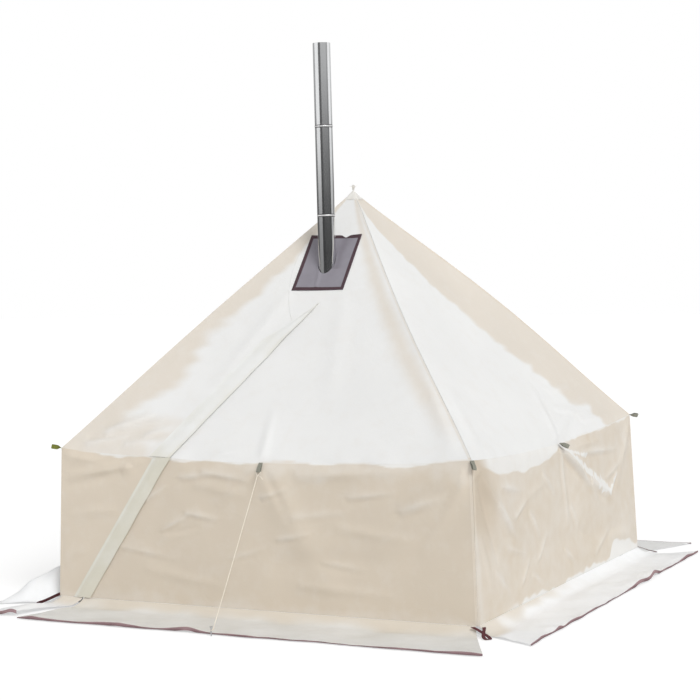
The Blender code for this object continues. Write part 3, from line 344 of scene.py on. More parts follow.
# %% Lengths of the tent
HALF = 2.743 / 2
WALL_HEIGHT = 0.914
WALL_LIFT = 0.05
ROOF_RISE = 1.546
WALL_FLARE = 0.03
EAVE_SAG = 0.05
TOP_HALF = 0.01
BASE_HALF = HALF + WALL_FLARE
EAVE_Z = WALL_LIFT + WALL_HEIGHT
SLANT = math.hypot(ROOF_RISE, HALF)
PITCH = math.atan2(ROOF_RISE, HALF)
LEAN = math.atan2(WALL_FLARE, WALL_HEIGHT)
TOP_Z = EAVE_Z + ROOF_RISE * (1 - TOP_HALF / HALF)
ROOF_OUT = np.array((0, -math.sin(PITCH), math.cos(PITCH)))
WALL_OUT = np.array((0, -math.cos(LEAN), math.sin(LEAN)))
EAVE_OUT = (ROOF_OUT + WALL_OUT) / np.linalg.norm(ROOF_OUT + WALL_OUT)
HIP_BOWS = np.array(((-0.008, 0, 0.012), (-0.032, 0, 0), (0.018, 0.018, 0.029), (0, 0, 0.006)))
CANVAS = 0.0014
# How far panels stay from the zip's line, and from the line of a seam.
PANEL_GAP, SEAM_INSET = 0.0008, 0.0012
FRONT, RIGHT, BACK, LEFT = range(4)
CORNERS = ("front_left", "front_right", "back_right", "back_left")
SIDES = ("front", "right", "back", "left")
print("slope", round(SLANT, 3), "m at", round(math.degrees(PITCH), 1), "degrees")

# %% [markdown]
# A cloth has thousands of points, so each formula takes them all at once, as an array. Steps are soft,
# because cloth has no corners. The noise comes from mathutils, and is the same in every run.

# %% Helpers for many points
def rows_of(*parts):
    return np.stack(np.broadcast_arrays(*parts), axis=-1).astype(float)


def unit(value):
    return np.clip(value, 0, 1)


def soft_step(value, length=1.0):
    share = unit(value / length)
    return share * share * (3 - 2 * share)


def turn_points(points, side):
    angle = side * math.pi / 2
    c, s = round(math.cos(angle)), round(math.sin(angle))
    return points @ np.array(((c, s, 0), (-s, c, 0), (0, 0, 1)), float)


def rough_line(values, scale, seed):
    """Smooth noise along a line, from -1 to 1."""
    return np.array([noise.noise(Vector((v * scale, seed, 0))) for v in np.ravel(values)]) * 1.6


def rough_field(x, y, scale, seed):
    pairs = zip(np.ravel(x), np.ravel(y))
    return np.array([noise.noise(Vector((a * scale, b * scale, seed))) for a, b in pairs]) * 1.6


def wall_top(x):
    return WALL_HEIGHT - EAVE_SAG * (1 - (x / HALF) ** 2)


def wall_half(height):
    return BASE_HALF - WALL_FLARE * height / WALL_HEIGHT


def beside_line(x, y, along):
    """For a line from (0, 0) to along: how far along it each point is, as a share, and how far off it."""
    here = rows_of(x, y)
    share = unit(here @ along / (along @ along))
    return share, np.linalg.norm(here - share[:, None] * along, axis=1)

# %% [markdown]
# ### Creases
# Each row of a crease table is one fold: where it starts and ends on the panel, half its width, its
# height, and how sharp its ridge is. Cloth is pulled to a loop in a fan, and lies in soft rolls between.

# %% Crease tables, in mm on the panel
FRONT_CREASES = (
    (30, 860, 490, 140, 90, 10, 0), (1340, 870, 710, 270, 100, 10, 0), (140, 270, 1030, 350, 70, -7, 0),
    (-640, 440, -450, 545, 16, 7, 1), (-470, 550, -270, 520, 18, 6, 1), (-600, 420, -400, 470, 18, -5, 1),
    (-950, 330, -550, 275, 20, 4, 1), (50, 660, 200, 715, 16, 6, 1), (290, 790, 950, 845, 30, 7, 0),
    (250, 550, 600, 600, 22, 4, 1), (550, 500, 950, 460, 30, 5, 0), (20, 830, -250, 620, 35, 6, 0),
    (60, 830, 220, 550, 30, -5, 0), (1330, 840, 950, 660, 35, 9, 0), (1340, 800, 1080, 400, 35, 6, 0),
    (-400, 720, 0, 660, 30, 4, 0), (-750, 200, -200, 120, 30, 4, 0), (300, 160, 850, 130, 30, 5, 0),
    (-500, 760, -300, 790, 20, 7, 1), (-350, 800, -50, 760, 20, 7, 1), (620, 680, 900, 720, 18, 6, 1),
    (150, 420, 350, 460, 18, 5, 1), (-750, 620, -620, 700, 16, 6, 1), (950, 620, 1200, 700, 25, 8, 1),
    (450, 300, 700, 270, 18, 4, 1), (-150, 300, 50, 360, 18, 4, 1),
)
DOOR_CREASES = (
    (-740, 900, -910, 800, 30, 10, 0), (-900, 810, -1300, 740, 30, 13, 1), (-950, 780, -1320, 680, 35, -9, 0),
    (-1330, 880, -1050, 830, 30, 6, 0), (-1000, 550, -1300, 500, 30, 4, 0), (-1200, 300, -1350, 220, 30, 4, 0),
)
RIGHT_CREASES = (
    (30, 860, 750, 380, 100, 13, 0), (30, 860, 270, 180, 80, -8, 0), (-1340, 870, -620, 320, 100, 11, 0),
    (-270, 270, 960, 200, 70, -7, 0), (-1330, 860, -920, 470, 30, 12, 1), (-1300, 800, -1080, 330, 35, -12, 0),
    (-1060, 620, -800, 400, 22, 9, 1), (-930, 360, -660, 280, 20, 6, 1), (-1100, 240, -930, 100, 22, 7, 1),
    (-1300, 450, -1150, 100, 30, 6, 0), (20, 830, 600, 460, 20, 14, 1), (50, 800, 340, 620, 15, 9, 1),
    (520, 560, 890, 440, 30, 14, 1), (880, 450, 1030, 560, 18, 8, 1), (20, 800, 80, 360, 25, 7, 1),
    (160, 450, 270, 300, 20, 6, 1), (400, 760, 1020, 720, 20, 9, 1), (300, 820, 750, 800, 25, 7, 0),
    (-550, 140, -380, 50, 18, 6, 1), (300, 300, 520, 160, 30, -6, 0), (550, 100, 850, 220, 22, 6, 1),
    (-600, 600, -250, 660, 30, 5, 0), (1330, 850, 1000, 450, 40, 7, 0), (900, 160, 1320, 100, 40, 9, 0),
    (-980, 720, -700, 660, 20, 8, 1), (-550, 500, -420, 360, 20, 8, 1), (-300, 700, -120, 550, 18, 8, 1),
    (-800, 520, -620, 580, 18, 8, 1), (-450, 220, -300, 340, 18, 7, 1), (20, 200, 160, 100, 18, 7, 1),
    (840, 550, 1100, 620, 20, 6, 1), (-720, 120, -600, 240, 16, 6, 1),
)
BACK_CREASES = (
    (0, 860, 620, 180, 150, 11, 0), (-1300, 850, -600, 300, 80, 8, 0), (1300, 850, 900, 300, 60, 8, 0),
    (0, 850, -300, 400, 50, 7, 0),
)
LEFT_CREASES = (
    (0, 860, -620, 180, 150, 11, 0), (1300, 850, 600, 300, 80, 8, 0), (-1300, 850, -900, 400, 60, 7, 0),
    (0, 850, 350, 450, 50, 6, 0),
)
WALL_CREASES = (FRONT_CREASES, RIGHT_CREASES, BACK_CREASES, LEFT_CREASES)
ROOF_FRONT_CREASES = (
    (-1200, 50, -970, 120, 22, 9, 1), (-820, 140, -700, 190, 18, 8, 1), (-300, 30, -120, 70, 18, 6, 1),
    (450, 30, 750, 50, 20, 5, 1), (-1090, 145, -840, 285, 22, 10, 1), (-980, 185, -740, 240, 20, 9, 1),
    (-920, 75, -760, 95, 25, 8, 1), (-1200, 100, -800, 160, 30, -7, 0), (40, 20, 0, 350, 30, 6, 0),
    (1250, 50, 950, 600, 50, 6, 0), (-200, 1220, -550, 300, 50, 4, 0), (200, 1200, 350, 450, 60, 4, 0),
)
ROOF_RIGHT_CREASES = (
    (0, 30, 250, 400, 35, 9, 1), (100, 50, 550, 180, 25, 9, 1), (350, 220, 750, 140, 20, 8, 1),
    (450, 360, 800, 340, 22, 7, 1), (600, 100, 1100, 50, 30, 6, 0), (-1200, 50, -900, 500, 50, 5, 0),
)
ROOF_BACK_CREASES = (
    (0, 30, 200, 500, 60, 7, 0), (-1200, 50, -700, 700, 70, 6, 0), (1200, 50, 800, 700, 70, 6, 0),
)
ROOF_CREASES = (ROOF_FRONT_CREASES, ROOF_RIGHT_CREASES, ROOF_BACK_CREASES, ROOF_BACK_CREASES)
print("folds on each wall", [len(creases) for creases in WALL_CREASES])

FOLD_STRENGTH = 1.6


def crease_height(creases, x, y):
    """How far the folds lift the cloth at (x, y) on its panel."""
    total = np.zeros(len(x))
    for *sizes, sharp in creases:
        x_start, y_start, x_end, y_end, width, depth = (size / 1000 for size in sizes)
        along = np.array((x_end - x_start, y_end - y_start))
        share, away = beside_line(x - x_start, y - y_start, along)
        away = away / width
        ends = 1 - 0.55 * np.abs(2 * share - 0.7)
        shape = np.exp(0.387 - np.sqrt(away * away + 0.15)) if sharp else np.exp(-away * away)
        if sharp:
            behind = (x - x_start) * along[1] > (y - y_start) * along[0]
            shape = shape - 0.35 * np.exp(-((away - 1.6) ** 2)) * behind
        total += FOLD_STRENGTH * depth * ends * shape
    return total

# %% [markdown]
# ### Where the roof turns into the wall
# The eave is a sewn edge with slack in it, so it isn't a straight line. Both panels share the same
# small waves there, and each comes back to its own flat within a hand's width.

# %% Eave, roof and wall surfaces
def eave_slack(x, side, distance):
    """The cloth near the eave is rounded inwards: how far, at this distance from the eave."""
    near = soft_step(HALF - np.abs(x), 0.16)
    if side == FRONT:
        near = near * soft_step(np.abs(x + 0.62) - 0.07, 0.15)
    along = x + 7 * side
    wave = rough_line(along, 3.1, 2.5) + 0.6 * rough_line(along, 8.5, 4.5)
    reach = np.maximum(0.10 + 0.045 * rough_line(along, 2.2, 8.5), 0.04)
    return EAVE_OUT * (near * (0.011 + 0.008 * wave) * unit(1 - distance / reach) ** 2)[:, None]


def fold_height(creases, x, y, seed):
    return crease_height(creases, x, y) + 0.0016 * rough_field(x, y, 5.0, seed)


def eave_edge(x):
    sag = EAVE_SAG * (1 - (x / HALF) ** 2)
    return rows_of(x, -HALF - WALL_FLARE * sag / WALL_HEIGHT, EAVE_Z - sag)


def roof_at(side, x, up, off=0.0, folds=True):
    across = x / (HALF + (TOP_HALF - HALF) * up)
    low = eave_edge(across * HALF)
    point = low + (rows_of(across * TOP_HALF, -TOP_HALF, TOP_Z) - low) * up[:, None]
    bows = turn_points(HIP_BOWS, -side)
    bow = np.where((across > 0)[:, None], bows[(side + 1) % 4], bows[side])
    point = point + bow * ((4 * up * (1 - up)) ** 2 * across ** 4)[:, None]
    if folds:
        distance = up * SLANT
        point = point - eave_slack(across * HALF, side, distance)
        free = soft_step((1 - np.abs(across)) * HALF * (1 - up), 0.07) * soft_step(distance, 0.05)
        off = off + free * soft_step(1 - up, 0.08) * fold_height(ROOF_CREASES[side], x, distance, side + 3.3)
    return point + np.broadcast_to(off, up.shape)[:, None] * ROOF_OUT


def wall_at(side, x, height, off=0.0, folds=None):
    point = rows_of(x, -BASE_HALF + WALL_FLARE * height / WALL_HEIGHT, WALL_LIFT + height)
    if folds is not None:
        distance = wall_top(x) - height
        point = point - eave_slack(x, side, distance)
        free = soft_step(height, 0.05) * soft_step(distance, 0.06) * soft_step(wall_half(height) - np.abs(x), 0.07)
        off = off + free * fold_height(folds, x, height, side + 5.3)
    return point + np.broadcast_to(off, height.shape)[:, None] * WALL_OUT


def on_slant(line, up, over=0.0):
    """(x, height) on a slanting line of the wall, this share of the way up to the eave."""
    height = up * WALL_HEIGHT
    for _ in range(5):
        x = line(height)
        height = up * (wall_top(x) + over)
    return x, height

# %% [markdown]
# ### A net of cloth
# One grid primitive is the start of every cloth: its corners are moved onto the surface, its UV map
# is stretched to metres so that the weave has its real size, and Solidify gives it its thickness.

# %% Cloth net
def select_only(*objects):
    """The first one is also the active one."""
    bpy.ops.object.select_all(action="DESELECT")
    for obj in objects:
        obj.select_set(True)
    if objects:
        bpy.context.view_layer.objects.active = objects[0]


def added(name, primitive, **settings):
    select_only()
    primitive(**settings)
    bpy.context.object.name = name
    return bpy.context.object


def edit_all(operator, **settings):
    """One edit-mode step on everything in the active object."""
    bpy.ops.object.mode_set(mode="EDIT")
    bpy.ops.mesh.select_all(action="SELECT")
    operator(**settings)
    bpy.ops.object.mode_set(mode="OBJECT")


def apply_all(obj):
    select_only(obj)
    for modifier in list(obj.modifiers):
        bpy.ops.object.modifier_apply(modifier=modifier.name)


def cloth_net(name, columns, rows, place, size, thickness, side=FRONT, smooth=40):
    """place(across, up) gives points, and a tone for each, from two arrays of shares."""
    obj = added(name, bpy.ops.mesh.primitive_grid_add, x_subdivisions=columns, y_subdivisions=rows, size=2)
    mesh, map_data = obj.data, obj.data.uv_layers[0].data
    flat = np.empty(len(mesh.vertices) * 3)
    mesh.vertices.foreach_get("co", flat)
    points, *shades = place(*(flat.reshape(-1, 3)[:, :2] / 2 + 0.5).T)
    mesh.vertices.foreach_set("co", turn_points(points, side).astype(np.float32).ravel())
    uv = np.empty(len(mesh.loops) * 2)
    map_data.foreach_get("uv", uv)
    map_data.foreach_set("uv", (uv.reshape(-1, 2) * np.array(size)).ravel())
    mesh.uv_layers[0].name = "UVMap"
    for label, values in zip(("shade_share", "stain_and_shade"), shades):
        kept = mesh.attributes.new(label, "FLOAT", "POINT")
        kept.data.foreach_set("value", np.broadcast_to(values, (len(points),)).astype(np.float32))
    solid = obj.modifiers.new("Thickness", "SOLIDIFY")
    solid.thickness = thickness
    solid.offset = 0
    apply_all(obj)
    bpy.ops.object.shade_smooth_by_angle(angle=math.radians(smooth))
    return obj


def hold(obj, holder):
    """holder: the body that the piece rides on, or a function that is called with the piece instead."""
    return holder(obj) if callable(holder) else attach(obj, holder)


def dress(obj, holder, look, *stands_for, slot=None):
    """holder is as in hold(). The frame has looks of the same names, so each new one has .001 after its."""
    obj.data.materials.clear()
    obj.data.materials.append(look)
    hold(obj, holder)
    if stands_for:
        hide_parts(*stands_for)
    return obj

# %% [markdown]
# ## Door lines
# The door is the left end of the front wall and the roof above it. Its zip runs from the ground up to
# the middle of the roof, under the storm flap. These few places are used by every piece near it.

# %% Door lines
TIP_UP = 1.169 / SLANT
ZIP_TOP_UP = TIP_UP - 0.16 / SLANT
ZIP_INSET = 0.052
FREE_BASE, FREE_EAVE, FREE_TIP = -1.17, -0.58, 0.049


def free_x(height):
    return FREE_BASE + (FREE_EAVE - FREE_BASE) * height / wall_top(FREE_EAVE)


def zip_x(height):
    return free_x(height) - ZIP_INSET


def roof_free_x(up):
    return FREE_EAVE + (FREE_TIP - FREE_EAVE) * up / TIP_UP


def roof_zip_x(up):
    """The roof part of the zip; above its top the same line runs on to the flap's tip."""
    return roof_free_x(up) - ZIP_INSET


def one(surface, x, y, *more, **settings):
    """One point of the front side."""
    return Vector(surface(FRONT, np.array([float(x)]), np.array([float(y)]), *more, **settings)[0])


zip_eave = one(roof_at, roof_zip_x(0), 0)
zip_top = one(roof_at, roof_zip_x(ZIP_TOP_UP), ZIP_TOP_UP)
print("zip meets the eave at", [round(v, 3) for v in zip_eave], "and ends at", [round(v, 3) for v in zip_top])


def bend_roof(obj):
    """Bakes the piece's place into its mesh."""
    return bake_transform(obj)


def bend_wall(obj):
    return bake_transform(obj)

# %% [markdown]
# ## Roof
# Four triangles of canvas, painted pale where the light falls full on them. A broad cream-coloured band
# of painted shade runs along the outer hips. The front one is in two pieces that meet at the zip, so that the door
# can open.

# %% Tone of the roof
def band(value, width):
    return soft_step(value / width + 0.5)


def bulge(value, middle, width):
    """A round hump: 1 in the middle, almost 0 two widths away."""
    return np.exp(-(((value - middle) / width) ** 2))


def eave_tide(x, side):
    """How far the roof's painted light runs down over the eave; where it is negative the wall's beige shade runs up.
    """
    return 0.004 + 0.028 * rough_line(x + 9 * side, 2.6, 41.0) + 0.008 * rough_line(x + 9 * side, 11.0, 43.0)


def ridge_painted_light(creases, x, y):
    """Painted light on the folds' ridges and painted shade in their hollows."""
    sharp = [crease for crease in creases if crease[-1]]
    return -24 * np.clip(crease_height(sharp, x, y), -0.010, 0.016)


def roof_painted_light_and_tone(side, x, up):
    # Share of the shade tone: pale is painted light, beige is painted shade, and tide lets the wall's beige run up
    # over the eave.
    across = x / (HALF + (TOP_HALF - HALF) * up)
    distance = up * SLANT
    ragged = 0.09 * rough_field(x, distance, 2.4, 11.0 + side) + 0.05 * rough_field(x * 0.7, distance * 3, 5.0, 17.0)
    tide = band(-eave_tide(x, side) - distance, 0.012)
    folds = ridge_painted_light(ROOF_CREASES[side], x, distance)
    # Front: painted shade along the left hip, low on the left, and in a strip beside the front corner's hip.
    if side == FRONT:
        left = band(-across - 0.84 + 0.22 * up + ragged, 0.16)
        strip = bulge(across + 0.25 * up, 0.97, 0.05 + 0.10 * up) * soft_step(up, 0.25)
        low_left = 0.8 * band(-across - 0.50 + ragged, 0.2) * soft_step(0.16 - up, 0.06)
        beige = np.maximum(np.maximum(left, low_left), 0.75 * strip)
        return unit(np.maximum(beige + folds * beige, 0.8 * tide))
    # Right: painted light near the front hip, painted shade along the outer hip, widening up the slope.
    if side == RIGHT:
        edge = 0.68 - 0.6 * up - 1.1 * up ** 3
        beige = unit(band(across - edge + 1.3 * ragged, 0.10) + 0.5 * soft_step(up - 0.86, 0.1))
        return unit(np.maximum(beige + folds, 0.5 * tide * (across > 0)))
    # Back and left: painted shade along both hips, with tone that differs at random.
    return unit(0.35 + ragged * 2 + 0.4 * band(np.abs(across) - 0.8, 0.3) + folds)


def roof_cloth(name, side, columns, rows, left, right):
    def place(across, up):
        low, high = left(up), right(up)
        x = low + (high - low) * across
        return roof_at(side, x, up), roof_painted_light_and_tone(side, x, up)

    return cloth_net(f"roof_{name}_canvas", columns, rows, place, (2 * HALF, SLANT), CANVAS, side)


def hip(up):
    return HALF + (TOP_HALF - HALF) * up - SEAM_INSET


def minus_hip(up):
    return -hip(up)

# %% [markdown]
# The front roof has a window under the stove panel, which hides it. It is cut out with a Boolean
# modifier, well inside the panel's edge. The piece left of the zip belongs to the door.

# %% Roof panels
PIPE_RADIUS, PIPE_Y = 0.055, -0.39
JACK_UP = (HALF + PIPE_Y) / (HALF - TOP_HALF)
JACK_WIDTH, JACK_LENGTH, JACK_LAP = 0.36, 0.44, 0.035
jack_centre = one(roof_at, 0, JACK_UP, folds=False)
JACK_FRAME = Matrix.Translation(jack_centre) @ Matrix.Rotation(PITCH, 4, "X")


def cut_with(obj, cutter):
    """Takes the cutter's shape out of the object, then deletes the cutter."""
    step = obj.modifiers.new("Cut", "BOOLEAN")
    step.operation = "DIFFERENCE"
    step.solver = "EXACT"
    step.object = cutter
    apply_all(obj)
    bpy.data.objects.remove(cutter, do_unlink=True)


def box(name, size, matrix):
    obj = added(name, bpy.ops.mesh.primitive_cube_add, size=1)
    obj.data.transform(Matrix.Diagonal((*size, 1)))
    obj.data.transform(matrix)
    return obj


def jack_window(inset, depth):
    """A cutter for the middle of the stove panel, this far inside its edge."""
    return box("window", (JACK_WIDTH - 2 * inset, JACK_LENGTH - 2 * inset, depth), JACK_FRAME)


def front_left_edge(up):
    """Left edge of the fixed part: the zip up to its top, then the line from its top to the hip."""
    top_share = unit((up - ZIP_TOP_UP) / (1 - ZIP_TOP_UP))
    above = roof_zip_x(np.minimum(up, ZIP_TOP_UP)) * (1 - top_share) + minus_hip(up) * top_share
    return np.where(up <= ZIP_TOP_UP, roof_zip_x(up) + PANEL_GAP, above)


def door_right_edge(up):
    return np.where(up <= ZIP_TOP_UP, roof_zip_x(up), front_left_edge(up)) - PANEL_GAP


roof_front = roof_cloth("front", FRONT, 150, 140, front_left_edge, hip)
cut_with(roof_front, jack_window(JACK_LAP, JACK_LAP * 2))
dress(roof_front, "tent", ROOF_CANVAS, "roof_front")
roof_door = roof_cloth("door", FRONT, 80, 130, minus_hip, door_right_edge)
dress(roof_door, bend_roof, ROOF_CANVAS, "roof_front")
for side, columns, rows in ((RIGHT, 150, 120), (BACK, 90, 70), (LEFT, 90, 70)):
    name = SIDES[side]
    dress(roof_cloth(name, side, columns, rows, minus_hip, hip), "tent", ROOF_CANVAS, "roof_" + name)
print("roof done")

# %% [markdown]
# ## Walls
# The walls are the same canvas, painted beige: its cream darkened as painted shade. Painted light makes pale
# places just under the eave where the cloth bellies out, and pale highlights along the folds that the loops pull.

# %% Tone of the walls
# Painted highlights along folds of the right wall, in mm: start, end, and half width at each end.
RIGHT_HIGHLIGHTS = (
    (-10, 870, 220, 745, 6, 12), (200, 755, 520, 610, 12, 24), (500, 620, 760, 500, 24, 34),
    (740, 510, 890, 445, 34, 14), (880, 455, 1030, 555, 14, 3), (50, 820, 450, 735, 3, 12),
)


def highlight_patch(x, y, seed, sizes):
    """A ragged painted highlight along a line in mm, with its own half width at each end."""
    x_start, y_start, x_end, y_end, first, last = (size / 1000 for size in sizes)
    share, away = beside_line(x - x_start, y - y_start, np.array((x_end - x_start, y_end - y_start)))
    ragged = 1 + 0.9 * rough_field(x, y, 26.0, seed)
    return band((first + (last - first) * share) * ragged - away, 0.012)


def wall_painted_light_and_tone(side, x, height):
    # Share of the shade tone: beige is painted shade, pale is painted light, folds adds light on ridges and shade in
    # hollows.
    below = wall_top(x) - height
    ragged = rough_field(x, height, 3.0, 31.0 + side) + 0.5 * rough_field(x, height, 11.0, 37.0)
    folds = ridge_painted_light(WALL_CREASES[side], x, height)
    tide = eave_tide(x, side)
    if side == FRONT:
        # Front: painted light where the roof's pale runs over the eave and along the top of the wall; paler near the
        # ground.
        pale = 0.85 * band(tide - below, 0.012) * soft_step(1.34 - x, 0.1)
        light = 0.25 * band(0.10 - below + 0.05 * ragged, 0.08) * soft_step(x + 0.4, 0.5)
        foot = 0.25 * band(0.03 + 0.03 * ragged - height, 0.10)
        return unit(1.0 - pale - light - foot + folds)
    if side == RIGHT:
        # Right: painted light under the eave, pale highlights from the table above and a pale band beside the front
        # corner, paler near the ground on the far part; dark is painted shade below the front corner.
        dip = 0.115 * unit(1 - ((x + 0.66) / 0.68) ** 2) ** 0.7
        pale = band(dip * (1 + 0.16 * ragged) - below, 0.018) * (x < 0.03)
        pale = np.maximum(pale, 0.6 * band(tide - below, 0.012))
        for number, mark in enumerate(RIGHT_HIGHLIGHTS):
            pale = np.maximum(pale, highlight_patch(x, height, 70.0 + number, mark))
        corner = 0.22 * bulge(x, -1.35, 0.035) * soft_step(0.75 - height, 0.3)
        foot_line = 0.012 + 0.03 * ragged + 0.115 * soft_step(x - 0.80, 0.12) - 0.09 * soft_step(x - 1.15, 0.25)
        far_foot = band(foot_line - height, 0.022) * soft_step(x + 1.1, 0.5)
        dark = 0.42 * soft_step(-0.98 - x, 0.25) * soft_step(height - 0.45, 0.25)
        return unit(0.80 + dark + 0.10 * ragged + folds - pale - corner - far_foot)
    # Back and left: painted light where the roof's pale runs over the eave.
    return unit(0.85 + 0.1 * ragged - 0.5 * band(tide - below, 0.02) + folds)


def corner_shade(side, x, height):
    """The right wall is darker where its cloth turns in below the front corner's loop."""
    slant = x + 1.34 + 0.30 * (height - 0.85)
    shade = soft_step(0.26 - slant, 0.22) * soft_step(height - 0.30, 0.35) * soft_step(x + 1.362, 0.02)
    return shade * (side == RIGHT)

# %% [markdown]
# Each wall is a net between its two corner seams. The front one starts at the zip, and the piece left
# of the zip is the door's. The walls that the photograph shows have the finest nets.

# %% Wall panels
def wall_cloth(name, side, left, right, columns, rows, folds):
    def place(across, up):
        x, height = on_slant(lambda h: left(h) + (right(h) - left(h)) * across, up, 0.0002)
        return wall_at(side, x, height, 0.0, folds), wall_painted_light_and_tone(side, x, height), corner_shade(side, x, height)

    return cloth_net(name, columns, rows, place, (2 * BASE_HALF, WALL_HEIGHT), CANVAS, side)


def right_seam(height):
    return wall_half(height) - SEAM_INSET


def left_seam(height):
    return -right_seam(height)


WALL_NETS = ((250, 100), (300, 110), (150, 60), (150, 60))
for side, name in enumerate(SIDES):
    left = left_seam if side else lambda h: zip_x(h) + PANEL_GAP
    wall = wall_cloth(f"wall_{name}_canvas", side, left, right_seam, *WALL_NETS[side], WALL_CREASES[side])
    dress(wall, "tent", WALL_CANVAS, "wall_" + name)
door_cloth = wall_cloth("door_canvas_panel", FRONT, left_seam, lambda h: zip_x(h) - PANEL_GAP, 90, 100, DOOR_CREASES)
dress(door_cloth, bend_wall, DOOR_CANVAS, "door_panel")
print("walls done")

# %% [markdown]
# ## Seams
# At the hips and corners, panels are joined with flat felled seams: the two edges are folded into
# each other and sewn down twice. Each is a narrow strip on the canvas, with two rows of stitches.

# %% Hip and corner seams
SEAM = 0.016
SEAM_CLOTH = 0.0006
SEAM_OFF = CANVAS / 2 + SEAM_CLOTH / 2


def on_hip(side, across, up):
    up = 0.004 + 0.985 * up
    x = hip(up) - np.minimum(SEAM, 0.5 * hip(up)) * (1 - across)
    return roof_at(side, x, up, SEAM_OFF), roof_painted_light_and_tone(side, x, up)


def on_corner(side, across, up):
    x, height = on_slant(lambda h: right_seam(h) - SEAM * (1 - across), 0.01 + 0.97 * up)
    return wall_at(side, x, height, SEAM_OFF, WALL_CREASES[side]), wall_painted_light_and_tone(side, x, height)


def seam_strip(name, side, rows, surface, long, slot):
    """The seam repeats the canvas's painted light and shade more weakly."""
    def place(across, up):
        points, shade_share = surface(side, across, up)
        return points, unit(shade_share * 0.6 + 0.3)

    strip = cloth_net(name + CORNERS[(side + 1) % 4], 3, rows, place, (SEAM, long), SEAM_CLOTH, side)
    return dress(strip, "tent", SEAM_CANVAS, slot=slot)


for side in range(4):
    seam_strip("hip_seam_", side, 120, on_hip, SLANT, "roof_canvas")
for side in (FRONT, RIGHT, BACK):
    seam_strip("corner_seam_", side, 60, on_corner, WALL_HEIGHT, "wall_canvas")
print("seams done")

# %% [markdown]
# ## Stove panel
# A square of heat-proof cloth with a dark tape sewn round it and a hole for the pipe. It sits on the
# roof's surface. Its upper edge is notched right of the pipe, and one crease runs down by the hole.

# %% Stove panel and its binding
JACK_OFF = 0.0015 + 0.0005 + 0.0015
BINDING_WIDTH = 0.022
JACK_CLOTH, BINDING_CLOTH = 0.0022, 0.0012


def jack_rumple(x, y):
    """Height of the panel over its flat, from its own centre."""
    crease = 0.006 * bulge(x + 0.15 * y, -0.045, 0.012) * soft_step(-y, 0.05)
    notch = -0.010 * bulge(x, 0.085, 0.03) * soft_step(y - 0.12, 0.08)
    roll = 0.003 * np.sin(9 * x + 14 * y)
    rim = np.maximum(np.abs(x) / (JACK_WIDTH / 2), np.abs(y) / (JACK_LENGTH / 2))
    return (crease + roll) * soft_step(1 - rim, 0.2) + np.maximum(notch, -0.001)


def jack_cloth(name, off, thickness):
    def place(across, up_share):
        x = JACK_WIDTH * (across - 0.5)
        y = JACK_LENGTH * (up_share - 0.5)
        # the top edge dips where the cloth is notched, right of the pipe
        dip = 0.020 * bulge(x, 0.07, 0.022) * soft_step(y - 0.15, 0.05)
        points = roof_at(FRONT, x, JACK_UP + y / SLANT - dip / SLANT, off + jack_rumple(x, y), folds=False)
        # The panel is painted darker, as shade, in the dip of its notch right of the pipe.
        return points, 0.35 + 0.4 * bulge(x, 0.075, 0.03) * (y > -0.05)

    return cloth_net(name, 60, 72, place, (JACK_WIDTH, JACK_LENGTH), thickness, smooth=60)


jack = jack_cloth("stove_panel", JACK_OFF, JACK_CLOTH)
hole = added("hole", bpy.ops.mesh.primitive_cylinder_add, vertices=64, radius=PIPE_RADIUS + 0.003, depth=1)
hole.data.transform(Matrix.Translation((0, PIPE_Y, jack_centre.z)))
cut_with(jack, hole)
dress(jack, "tent", JACK_FABRIC, "stove_jack")
binding = jack_cloth("stove_panel_binding", JACK_OFF + 0.0021, BINDING_CLOTH)
cut_with(binding, jack_window(BINDING_WIDTH, 0.08))
dress(binding, "tent", BINDING_TAPE, "jack_binding")
print("stove panel", JACK_WIDTH, "x", JACK_LENGTH, "m")

# %% [markdown]
# ## Storm flap
# A long strip sewn on the door's side of the zip and lying over it. Its free edge, on the right,
# stands a little off the canvas. It is in two parts that meet at the eave.

# %% Storm flap
ACROSS_STEPS = np.array((0, 0.12, 0.45, 0.72, 1))
RISE_STEPS = np.array((0, 0, 0.75, 0.9, 1))
FLAP_SEWN, FLAP_STAND, FLAP_CLOTH = 0.003, 0.0105, 0.0016
FLAP_WIDE, FLAP_FOOT, FLAP_TAPER = 0.15, 0.125, 0.28
EAVE_TURN = math.tan((math.pi / 2 - PITCH) / 2)


def flap_off(across, along, seed):
    rise = np.interp(across, ACROSS_STEPS, RISE_STEPS)
    ripple = 0.0030 * rough_line(along, 5.0, seed) * across ** 3
    return FLAP_SEWN + (FLAP_STAND - FLAP_SEWN) * rise + ripple


def flap_roof_place(across, up_share):
    low = (0.0006 - FLAP_STAND * EAVE_TURN * across) / SLANT
    up = low + (TIP_UP - low) * up_share
    along = up * SLANT
    width = FLAP_WIDE * np.minimum(1, ((TIP_UP - up) * SLANT + 0.004) / FLAP_TAPER)
    x = roof_free_x(up) - width * (1 - across) + 0.004 * rough_line(along, 6.0, 3.0) * across
    # On the roof the flap is painted pale as light, with painted shade by its free edge and down by the eave.
    shade_share = 0.12 + 0.25 * band(across - 0.86, 0.1) + 0.25 * rough_field(x, along, 5.0, 51.0)
    shade_share = shade_share + 0.35 * soft_step(0.1 - up, 0.1)
    points = roof_at(FRONT, x, np.maximum(up, 0), flap_off(across, along, 5.0))
    under = np.minimum(up, 0)[:, None] * SLANT * np.array((0, math.cos(PITCH), math.sin(PITCH)))
    return points + under, unit(shade_share)


